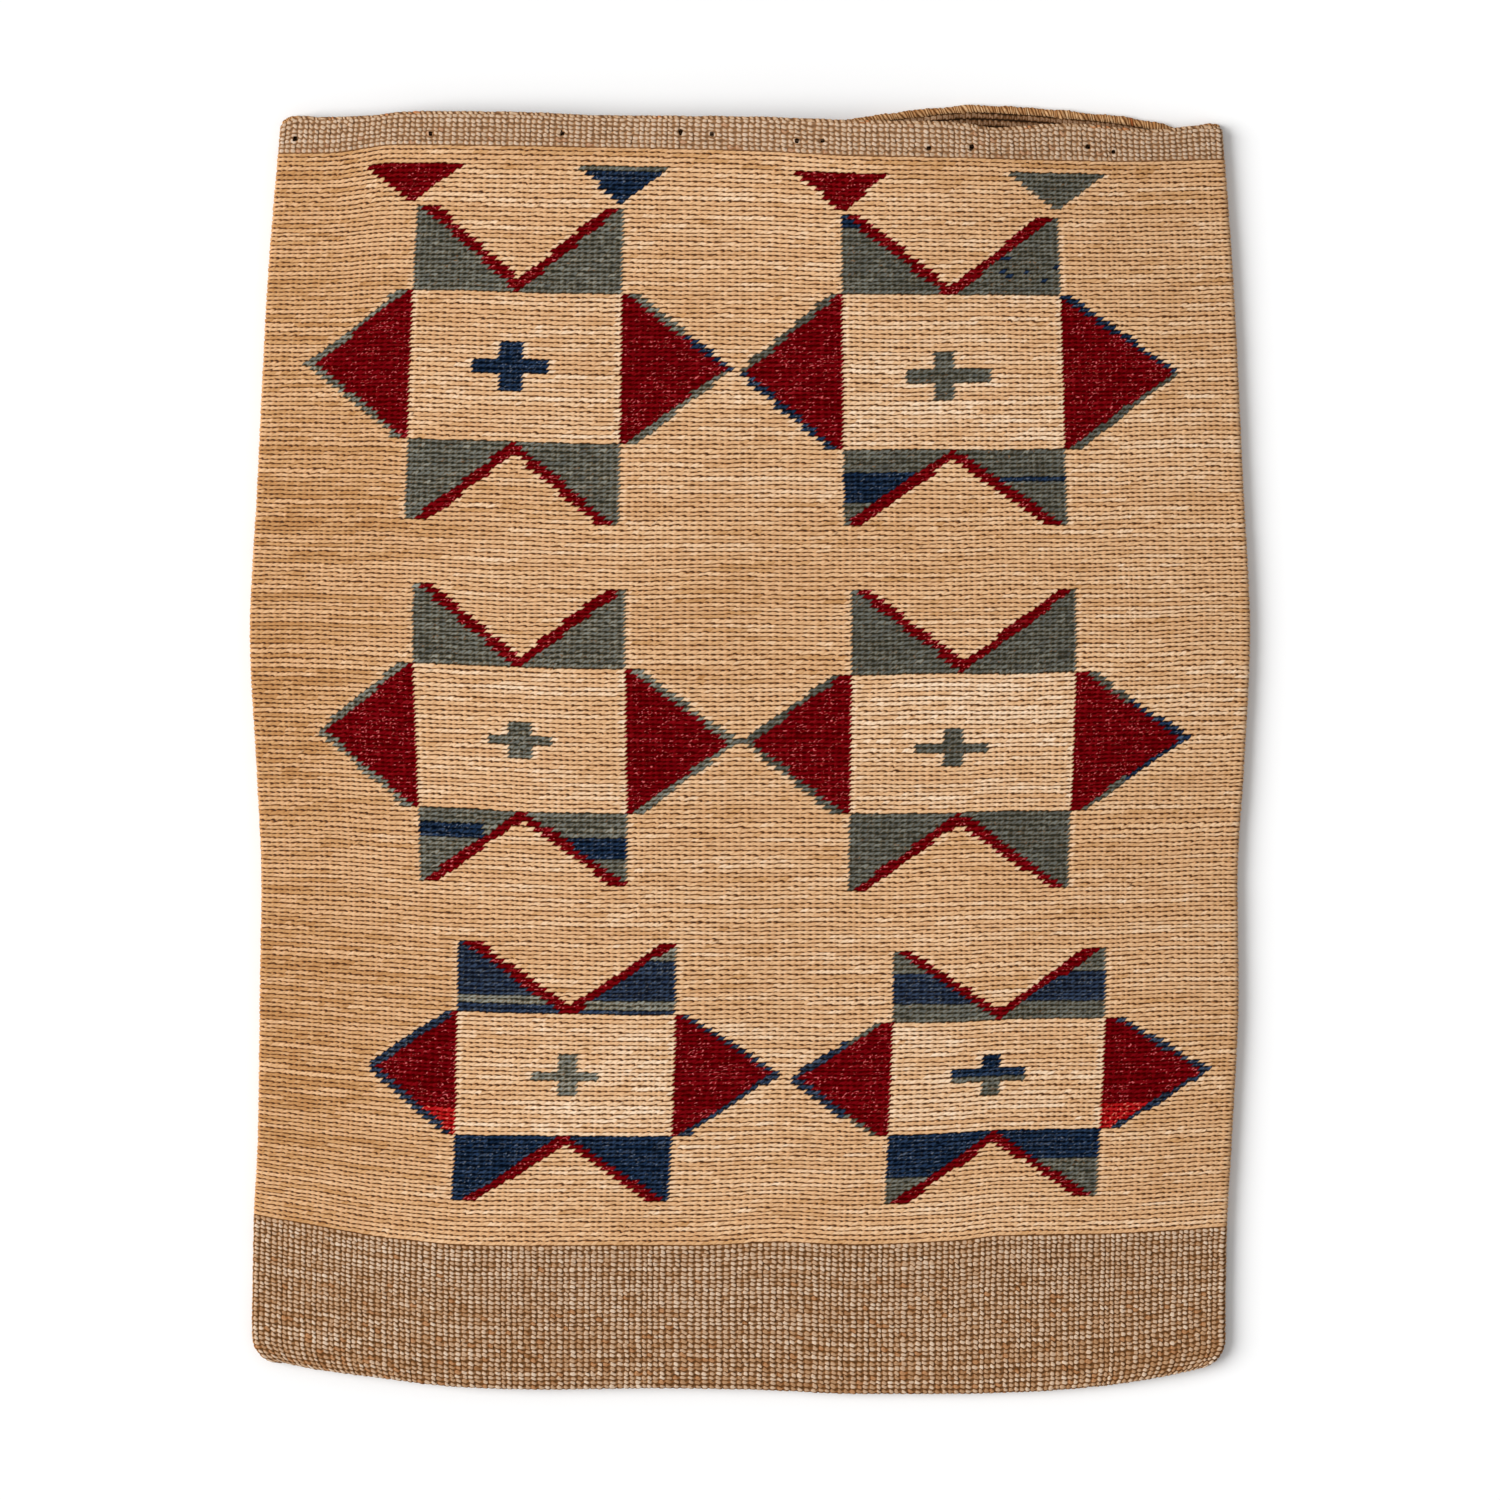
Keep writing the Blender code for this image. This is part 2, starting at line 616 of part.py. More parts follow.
def make_figures(bag, hinge):
    """The triangles of the top row and the six stars."""
    for number, shares in enumerate(TRIANGLE_SHARES):
        outline = drawn_in(triangle_outline(shares), CLEARANCE)
        add_wool(f"top_triangle_{number + 1}", outline, TRIANGLE_WOOLS[number], bag, hinge)
    for star, shares in STARS.items():
        cross_wool, upper_wool, lower_wool = STAR_WOOLS[star]
        wools = {"cross": cross_wool, "upper_wings": upper_wool, "lower_wings": lower_wool}
        for label, outline in star_outlines(shares, CROSSES[star])[1].items():
            colour = wools.get(label, RED_WOOL)
            add_wool(f"{star}_star_{label}", outline, colour, bag, hinge)


def main():
    """Build the bag in a scene of its own."""
    clear_scene()
    bag = new_collection("corn_husk_flat_bag")
    cutters = new_collection("cutters")
    hinge = add_hinge(bag)
    make_bottom_band(bag, cutters)
    make_back(bag, cutters)
    make_front(bag, cutters, hinge)
    make_figures(bag, hinge)
    print("mouth_hinge", [round(c, 6) for c in hinge.location])


main()
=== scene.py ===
import math

import bpy
import numpy as np
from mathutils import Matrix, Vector


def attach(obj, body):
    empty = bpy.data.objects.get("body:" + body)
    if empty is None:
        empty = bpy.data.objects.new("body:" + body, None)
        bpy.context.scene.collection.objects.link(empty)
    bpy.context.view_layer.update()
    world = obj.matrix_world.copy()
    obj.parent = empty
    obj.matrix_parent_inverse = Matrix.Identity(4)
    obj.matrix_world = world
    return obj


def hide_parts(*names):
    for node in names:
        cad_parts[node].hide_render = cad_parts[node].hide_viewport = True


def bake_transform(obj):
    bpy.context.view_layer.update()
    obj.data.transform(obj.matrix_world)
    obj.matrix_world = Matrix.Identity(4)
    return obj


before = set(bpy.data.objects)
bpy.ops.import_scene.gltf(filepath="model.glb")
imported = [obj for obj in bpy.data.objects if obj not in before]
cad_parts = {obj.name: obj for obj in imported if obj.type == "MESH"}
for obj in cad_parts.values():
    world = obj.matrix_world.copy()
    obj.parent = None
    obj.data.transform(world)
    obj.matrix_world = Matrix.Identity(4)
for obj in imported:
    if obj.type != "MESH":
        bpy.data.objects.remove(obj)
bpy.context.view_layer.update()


# The pouch.  The bag is one flat cloth tube, twined in the round from the
# fold at its bottom up to the mouth: each weft row crosses the front, turns
# round a side fold and crosses the back, over warps that stand upright.
BAG_LENGTH = 0.5592
BAG_WIDTH = 0.4335
HALF_LENGTH = BAG_LENGTH / 2
HALF_WIDTH = BAG_WIDTH / 2
WALL = 0.0025
FOLDED = 0.0053
FOLD_SHARE = 0.50
CORNER_RADIUS = 0.0120
CROWN_HEIGHT = 0.0090
CROWN_RUN = 0.0900
CROWN_POWER = 2.5
GAPE_HEIGHT = 0.0050
GAPE_HALF_WIDTH = 0.1500
GAPE_LENGTH = 0.1500
GAPE_PLACE_SHARE = 0.34
SLACK_HEIGHT = 0.0006
SLACK_LENGTH = 0.1200
FRONT_RIM = 0.0018
BACK_RIM = 0.0038
RIM_SINK = 0.0006

STITCHES = 157
BOTTOM_ROWS = 34
HUSK_ROWS = 245
BAND_ROWS = 7
LAST_HUSK_ROW = BOTTOM_ROWS + HUSK_ROWS
LAST_ROW = LAST_HUSK_ROW + BAND_ROWS
STEP_UNEVENNESS = 0.10
CROWDING_SHARE = 0.06
ROW_WAVE = 0.0004
WAVE_STITCHES = 19
WAVE_ROWS = 23
TURNING_STITCHES = 6
CORNER_POWER = 6
LAYING_ROUNDS = 3

SIDE_LEVEL_SHARES = (-1.0, -0.90, -0.74, -0.60, -0.37, -0.20, -0.04, 0.18, 0.40, 0.72, 0.98)
LEFT_REACH_SHARES = (
    0.996, 0.996, 0.993, 0.984, 0.980, 0.977, 0.986, 1.0, 0.986, 0.965, 0.938)
RIGHT_REACH_SHARES = (
    0.951, 0.951, 0.954, 0.964, 0.977, 0.975, 0.987, 1.0, 0.987, 0.967, 0.943)
BOTTOM_PLACE_SHARES = (
    -0.96, -0.90, -0.74, -0.58, -0.42, -0.18, 0.0, 0.22, 0.38, 0.54, 0.70, 0.86, 0.95)
BOTTOM_SHARES = (
    -0.952, -0.960, -0.975, -0.989, -0.993, -0.991, -0.993, -1.0, -1.0, -0.997, -0.988,
    -0.971, -0.958)
LOW_LINE_PLACE_SHARES = (-1.0, -0.90, -0.70, -0.54, -0.10, 0.06, 0.20, 0.40, 0.50, 0.70, 0.95)
LOW_LINE_SHARES = (
    -0.719, -0.733, -0.758, -0.769, -0.768, -0.763, -0.767, -0.761, -0.753, -0.751, -0.741)
LOW_LINE_MIDDLE_SHARE = -0.764
HIGH_LINE_PLACE_SHARES = (-0.95, -0.84, -0.70, -0.50, 0.0, 0.20, 0.40, 0.72, 0.95)
HIGH_LINE_SHARES = (0.924, 0.924, 0.936, 0.934, 0.925, 0.917, 0.914, 0.910, 0.915)
HIGH_LINE_MIDDLE_SHARE = 0.925
BEND_POWER = 5
RISE_PLACE_SHARES = (-1.0, -0.86, -0.67, -0.24, 0.20, 0.65, 0.90)
RISE_SHARES = (0.018, 0.0165, 0.0105, 0.0, 0.0, 0.0035, 0.0065)
FRONT_LIP_PLACE_SHARES = (
    -0.94, -0.90, -0.86, -0.76, -0.68, -0.50, -0.30, 0.0, 0.20, 0.40, 0.49, 0.64, 0.80, 0.92)
FRONT_LIP_SHARES = (
    0.974, 0.983, 0.980, 0.982, 0.988, 0.987, 0.981, 0.978, 0.972, 0.969, 0.961, 0.968,
    0.960, 0.970)
BACK_LIP_PLACE_SHARES = (
    -0.94, -0.90, -0.84, -0.60, 0.10, 0.24, 0.34, 0.45, 0.56, 0.66, 0.73, 0.80, 0.86, 0.92)
BACK_LIP_SHARES = (
    0.973, 0.981, 0.976, 0.972, 0.970, 0.983, 0.993, 1.0, 0.996, 0.989, 0.984, 0.975, 0.964,
    0.969)

chance = np.random.default_rng(31)
row_steps = 1 + STEP_UNEVENNESS * chance.normal(size=LAST_ROW).clip(-2, 2)
row_level = [np.zeros(1)]
for zone, (first, last) in enumerate(
        ((0, BOTTOM_ROWS), (BOTTOM_ROWS, LAST_HUSK_ROW), (LAST_HUSK_ROW, LAST_ROW))):
    climb = np.cumsum(row_steps[first:last])
    row_level.append(zone + climb / climb[-1])
row_level = np.concatenate(row_level)

warp_steps = 1 + STEP_UNEVENNESS * chance.normal(size=STITCHES).clip(-2, 2)
warp_place = np.concatenate([np.zeros(1), np.cumsum(warp_steps)])
warp_place = 2 * warp_place / warp_place[-1] - 1
warp_place += CROWDING_SHARE * np.sin(np.pi * warp_place) / np.pi


def read_curve(places, values, at):
    """A smooth curve through a table, which never passes its own values.

    Between two neighbours it is the cubic whose end slopes are the harmonic
    mean of the slopes on both sides, or zero where those turn.
    """
    places, values = np.array(places), np.array(values)
    rise = np.diff(values) / np.diff(places)
    product = rise[:-1] * rise[1:]
    total = np.where(product > 0, rise[:-1] + rise[1:], 1.0)
    slope = np.concatenate([rise[:1], np.where(product > 0, 2 * product / total, 0.0), rise[-1:]])
    at = np.clip(at, places[0], places[-1])
    i = np.clip(np.searchsorted(places, at, side="right") - 1, 0, len(places) - 2)
    step = places[i + 1] - places[i]
    t = (at - places[i]) / step
    ease = t * t * (3 - 2 * t)
    bend = slope[i] * t * (1 - t) ** 2 - slope[i + 1] * t * t * (1 - t)
    return values[i] + (values[i + 1] - values[i]) * ease + step * bend


def slow_waves(a, b, seed, count=8):
    """A sum of sine waves of random direction and phase, about -1 to 1."""
    dice = np.random.default_rng(seed)
    total = 0.0
    for ahead, aside, phase in dice.uniform(-1, 1, (count, 3)):
        total = total + np.sin(2 * np.pi * (a * ahead + b * aside + phase))
    return total / math.sqrt(2 * count)


def side_edges(y):
    """Left and right edge of the bag at a level."""
    share = y / HALF_LENGTH
    left = -HALF_WIDTH * read_curve(SIDE_LEVEL_SHARES, LEFT_REACH_SHARES, share)
    right = HALF_WIDTH * read_curve(SIDE_LEVEL_SHARES, RIGHT_REACH_SHARES, share)
    return left, right


def weft_height(row, x, lip):
    """Level of a weft row at x.

    The rows fan evenly between four lines: the bottom edge, the lower and
    the upper edge of the husk, and the lip.  In the husk the bends of both
    its edges fade faster, as a power of the share that is left, and halfway
    up a bend of its own is strongest, as 4 * climb * (1 - climb).
    """
    across = x / HALF_WIDTH
    lines = [
        read_curve(BOTTOM_PLACE_SHARES, BOTTOM_SHARES, across),
        read_curve(LOW_LINE_PLACE_SHARES, LOW_LINE_SHARES, across),
        read_curve(HIGH_LINE_PLACE_SHARES, HIGH_LINE_SHARES, across),
        lip / HALF_LENGTH,
    ]
    level = np.interp(row, np.arange(LAST_ROW + 1), row_level)
    share = lines[0]
    for zone in range(3):
        share = share + np.clip(level - zone, 0, 1) * (lines[zone + 1] - lines[zone])
    climb = np.clip(level - 1, 0, 1)
    low_bend, high_bend = lines[1] - LOW_LINE_MIDDLE_SHARE, lines[2] - HIGH_LINE_MIDDLE_SHARE
    share = share + low_bend * ((1 - climb) ** BEND_POWER - (1 - climb))
    share = share + high_bend * (climb ** BEND_POWER - climb)
    share = share + 4 * climb * (1 - climb) * read_curve(RISE_PLACE_SHARES, RISE_SHARES, across)
    return HALF_LENGTH * share


def raise_front(x, y):
    """How far the front stands above its folded level at a place.

    A crown over the whole width that fades into the bottom fold, a wide
    bump where the lips gape, and slow waves where the cloth is slack.
    """
    left, right = side_edges(y)
    across = np.minimum(np.abs(2 * x - left - right) / (right - left), 1)
    along = np.clip((y + HALF_LENGTH) / CROWN_RUN, 0, 1)
    inner = (1 - across ** CROWN_POWER) * (1 - (1 - along) ** CROWN_POWER)
    away_x = np.minimum(np.abs(x - GAPE_PLACE_SHARE * HALF_WIDTH) / GAPE_HALF_WIDTH, 1)
    away_y = np.clip((HALF_LENGTH - y) / GAPE_LENGTH, 0, 1)
    bump = (1 + np.cos(np.pi * away_x)) * (1 + np.cos(np.pi * away_y)) / 4
    slack = SLACK_HEIGHT * slow_waves(x / SLACK_LENGTH, y / SLACK_LENGTH, 7)
    return CROWN_HEIGHT * inner + GAPE_HEIGHT * bump + slack * inner


def round_the_fold(arc, half):
    """Distance in from a fold, and share of its height, at an arc length.

    Upright cloth from the middle of the fold, half a fold thick in all with
    the quarter circle at its top, and level cloth after it.
    """
    radius = FOLD_SHARE * half
    upright, quarter = half - radius, math.pi / 2 * radius
    angle = np.clip(arc - upright, 0, quarter) / radius
    level = arc - upright - quarter + radius
    distance = np.where(arc < upright + quarter, radius * (1 - np.cos(angle)), level)
    height = np.clip(arc, 0, upright) + radius * np.sin(angle)
    return distance, height / half


def lay_fabric(stitch, row, depth=0.0):
    """Points of the pouch at a stitch and a row, a depth below its outside.

    Stitches count round the bag: over the front from left to right, then
    over the back from right to left.  Each row is laid between the side
    edges and turned round the folds.  Where a row lies and how wide it is
    depend on each other, so both are worked out a few rounds over.
    """
    stitch, row = np.broadcast_arrays(np.asarray(stitch, float), np.asarray(row, float))
    around = np.mod(stitch, 2 * STITCHES)
    front = around < STITCHES
    count = np.where(front, around, 2 * STITCHES - around)
    across = np.interp(count, np.arange(STITCHES + 1), warp_place)
    from_fold = np.clip(np.minimum(count, STITCHES - count) / TURNING_STITCHES, 0, 1)
    facing = np.where(front, 1.0, -1.0) * from_fold * from_fold * (3 - 2 * from_fold)
    radius = FOLDED / 2 - depth
    spare = radius * (1 + FOLD_SHARE * (math.pi / 2 - 2))

    x = across * HALF_WIDTH
    for _ in range(LAYING_ROUNDS):
        share = x / HALF_WIDTH
        front_lip = HALF_LENGTH * read_curve(FRONT_LIP_PLACE_SHARES, FRONT_LIP_SHARES, share)
        back_lip = HALF_LENGTH * read_curve(BACK_LIP_PLACE_SHARES, BACK_LIP_SHARES, share)
        front_lip = front_lip - FRONT_RIM + RIM_SINK
        back_lip = back_lip - BACK_RIM + RIM_SINK
        lip = (front_lip + back_lip + facing * (front_lip - back_lip)) / 2
        y = weft_height(row, x, lip)
        left, right = side_edges(y)
        x = (left + right) / 2 + across * (right - left) / 2

    bottom = weft_height(np.zeros_like(row), x, lip)
    low = weft_height(np.full_like(row, BOTTOM_ROWS), x, lip)
    climb = np.clip((y - bottom) / (low - bottom), 0, 1)
    rise, bottom_height = round_the_fold(climb * (low - bottom - depth + spare), radius)
    y = np.where(y < low, bottom + depth + rise, y)
    free = np.sin(np.pi * np.clip(row / LAST_ROW, 0, 1))
    y = y + ROW_WAVE * free * slow_waves(stitch / WAVE_STITCHES, row / WAVE_ROWS, 3)

    reach = (right - left) / 2 - depth
    inset, side_height = round_the_fold((1 - np.abs(across)) * (reach + spare), radius)
    drawn = np.clip(CORNER_RADIUS - (y - bottom), 0, CORNER_RADIUS)
    drawn = CORNER_RADIUS - np.sqrt(CORNER_RADIUS ** 2 - drawn ** 2)
    drawn = drawn * np.abs(across) ** CORNER_POWER
    x = (left + right) / 2 + np.sign(across) * np.maximum(reach - drawn - inset, 0)
    height = radius * side_height * bottom_height
    z = FOLDED / 2 + np.where(front, height + raise_front(x, y), -height)
    return np.stack([x, y, z], axis=-1)


# The twined cloth.  Two wefts cross between the warps, so a row looks like a
# two-ply cord of plump hemp stitches that slope down to the right.  A wrap
# of husk or wool over them leans to the left, one column to a stitch.
ROW_CUTS = np.array((0.0, 0.25, 0.75))
CREVICE = 0.0002
SLIP_SHARE = 0.07
PLUMP_SHARE = 0.10
CREST_POWER = 2.2
EDGE_SPREAD = 0.4
EDGE_CALM = 0.7
# grid columns to a stitch, how many of them a stitch leans left over a row,
# and the level of the row's edge at each of them, in rows
HEMP_FRONT = (6, 0, (0.0, 0.24, 0.13, 0.0, -0.13, -0.24))
HEMP_BACK = (4, 0, (0.0, 0.22, 0.0, -0.22))
WRAP_FRONT = (3, -2, (-0.16, 0.08, 0.08))
WRAP_BACK = (2, -1, (0.0, 0.0))
NORMAL_STEP = 0.4
BAKE_MARGIN = 0.01

slips = chance.normal(size=(3, LAST_ROW + 1, 2 * STITCHES)).clip(-2, 2)


def twine(low_row, high_row, first, kind, ridge, groove, unlike=0.0):
    """The surface of rows low_row to high_row over one face of the bag.

    A stitch has the grid columns of its kind and three grid lines.  Over the
    height of a row it shifts left by its lean, so its place across is
    count + lean / 2 - climb * lean.  Its height is a rounded ridge along the
    row, less a groove at both ends of the stitch.
    """
    parts, steps, edge = kind
    lines = np.arange(3 * low_row, 3 * high_row + 1)
    columns = np.arange(parts * (first - 1), parts * (first + STITCHES + 1) + 1)
    row, climb = (lines // 3)[:, None], ROW_CUTS[lines % 3][:, None]
    stitch, along = (columns // parts)[None, :], (columns % parts / parts)[None, :]
    one = (row, np.mod(stitch, 2 * STITCHES))
    crest = 1 - np.abs(2 * climb - 1) ** CREST_POWER
    inside = np.clip(crest * 2, 0, 1)
    free = (row + climb > low_row) & (row + climb < high_row)
    lean = steps / parts
    zigzag = np.array(edge)[columns % parts] * (1 - EDGE_CALM * inside)
    zigzag = zigzag * (1 + EDGE_SPREAD * slips[2][one])
    across = stitch + along + lean / 2 - climb * lean + SLIP_SHARE * slips[0][one] * free
    upward = row + climb + (zigzag + SLIP_SHARE * slips[1][one]) * free
    points = lay_fabric(across, upward)
    right = lay_fabric(across + NORMAL_STEP, upward) - lay_fabric(across - NORMAL_STEP, upward)
    above = np.minimum(upward + NORMAL_STEP, LAST_ROW)
    below = np.maximum(upward - NORMAL_STEP, 0)
    up = lay_fabric(across, above) - lay_fabric(across, below)
    normal = np.cross(right, up)
    normal /= np.linalg.norm(normal, axis=-1, keepdims=True)
    ridge, groove = (np.broadcast_to(size, slips[0].shape)[one] for size in (ridge, groove))
    plump = 1 + PLUMP_SHARE * slips[2][one] + unlike * np.where(stitch % 2, 0.5, -0.5)
    swell = 1 - np.abs(2 * along - 1) ** 2
    height = crest * (ridge * plump - groove * (1 - swell)) - CREVICE
    points = points + normal * height[..., None]
    weave = np.stack(np.broadcast_arrays(stitch + along, row + climb), axis=-1)
    return {"points": points, "weave": weave, "parts": parts, "steps": steps, "first": first}


def grid_faces(row, column, width):
    """Corners of four-sided faces, each at a row and column of a grid."""
    start = row * width + column
    return np.stack([start, start + width, start + width + 1, start + 1], axis=-1)


def flat_places(points, flip=False):
    """Places in a unit square for baking, straight down on the bag."""
    flat = points[:, :2] * (-1 if flip else 1, 1)
    low, high = flat.min(axis=0), flat.max(axis=0)
    return BAKE_MARGIN + (1 - 2 * BAKE_MARGIN) * (flat - low) / (high - low).max()


def make_piece(name, points, quads, maps, materials, per_face=None, dye=None):
    """A smooth mesh of four-sided faces with its maps and face attributes."""
    used, quads_used = np.unique(quads, return_inverse=True)
    quads_used = quads_used.reshape(-1)
    mesh = bpy.data.meshes.new(name)
    mesh.vertices.add(len(used))
    mesh.vertices.foreach_set("co", points[used].astype(np.float32).ravel())
    mesh.loops.add(len(quads_used))
    mesh.loops.foreach_set("vertex_index", quads_used.astype(np.int32))
    mesh.polygons.add(len(quads))
    mesh.polygons.foreach_set("loop_start", np.arange(0, len(quads_used), 4, dtype=np.int32))
    mesh.polygons.foreach_set("use_smooth", np.ones(len(quads), bool))
    for map_name, places in maps.items():
        layer = mesh.uv_layers.new(name=map_name)
        layer.data.foreach_set("uv", places.astype(np.float32).ravel())
    for material in materials:
        mesh.materials.append(material)
    if dye is not None:
        mesh.polygons.foreach_set("material_index", dye.astype(np.int32))
    for label, values in (per_face or {}).items():
        attribute = mesh.attributes.new(label, "FLOAT", "FACE")
        attribute.data.foreach_set("value", values.astype(np.float32))
    mesh.update(calc_edges=True)
    mesh.validate()
    piece = bpy.data.objects.new(name, mesh)
    bpy.context.scene.collection.objects.link(piece)
    return piece


def twined_piece(name, cloth, chosen, materials, tone, fleck, dye=None, holes=(), bare=0.0):
    """The chosen stitches of a twined surface as one piece.

    chosen, tone, fleck and dye are arrays over all rows and stitches of the
    surface; a stitch gives the same tone, fleck and dye to all its faces.
    Faces whose middle is nearer to a hole than the bare radius are left out.
    """
    points, parts = cloth["points"].reshape(-1, 3), cloth["parts"]
    width = cloth["points"].shape[1]
    row, stitch = np.nonzero(chosen)
    line = (3 * row[:, None] + np.arange(3))[:, :, None]
    column = (parts * (stitch[:, None] + 1) + np.arange(parts))[:, None, :]
    line, column = (a.ravel() for a in np.broadcast_arrays(line, column))
    shift = np.where(line % 3 == 2, cloth["steps"], 0)
    corners = np.stack([
        line * width + column, line * width + column + 1,
        (line + 1) * width + column + 1 - shift, (line + 1) * width + column - shift,
    ], axis=-1)
    kept = np.ones(len(corners), bool)
    for hole in holes:
        away = points[corners].mean(axis=1)[:, :2] - hole
        kept &= np.hypot(away[:, 0], away[:, 1]) > bare
    corners = corners[kept]
    weave = cloth["weave"].reshape(-1, 2)[corners]
    weave[:, 2:, 0] += (shift[kept] / parts)[:, None]
    maps = {"weave": weave, "OFBake": flat_places(points[corners.ravel()], cloth["first"] > 0)}
    faces = 3 * parts
    per_face = {"tone": np.repeat(tone[row, stitch], faces)[kept],
                "fleck": np.repeat(fleck[row, stitch], faces)[kept]}
    if dye is not None:
        dye = np.repeat(dye[row, stitch], faces)[kept]
    return make_piece(name, points, corners, maps, materials, per_face, dye)


def strand_runs(dice, shape, mean_run):
    """A random value that stays the same over runs of stitches in a row."""
    run = np.cumsum(dice.random(shape) < 1 / mean_run, axis=1)
    values = dice.random((shape[0], run.max() + 1))
    return np.take_along_axis(values, run, axis=1)


FIBRE_SLOPE = 0.5
FIBRE_SIZE = (0.9, 0.14, 1.0)
BLOTCH_SCALE = 1.3
TIGHT_SCALE = (0.12, 0.8, 1.0)
PIT_STOPS = ((0.12, 0.0), (0.42, 1.0), (0.58, 1.0), (0.76, 0.0))
SPECK_STOPS = ((0.60, 0.0), (0.68, 1.0))
# colour of the warm painted shade on the flank beside each crevice
WARM_FLANK_SHADE = (252, 210, 156)
FIBRE_RELIEF = 0.0002


def seen(red, green, blue):
    """A colour as it is seen on a screen, 0 to 255, as light for a shader."""
    value = np.array((red, green, blue)) / 255
    light = np.where(value <= 0.04045, value / 12.92, ((value + 0.055) / 1.055) ** 2.4)
    return (*light.tolist(), 1.0)


def add_node(tree, kind, inputs=(), **settings):
    """A shader node with its settings, and its inputs set or linked."""
    node = tree.nodes.new(kind)
    for name, value in settings.items():
        setattr(node, name, value)
    for key, value in dict(inputs).items():
        if isinstance(value, bpy.types.NodeSocket):
            tree.links.new(value, node.inputs[key])
        else:
            node.inputs[key].default_value = value
    return node


def ramp(tree, factor, stops, smooth="LINEAR"):
    """A colour ramp with the given stops, each a place and a colour."""
    node = add_node(tree, "ShaderNodeValToRGB", {"Fac": factor})
    node.color_ramp.interpolation = smooth
    elements = node.color_ramp.elements
    while len(elements) < len(stops):
        elements.new(0.5)
    for element, (place, colour) in zip(elements, stops):
        element.position = place
        element.color = colour if isinstance(colour, tuple) else (colour, colour, colour, 1.0)
    return node.outputs["Color"]


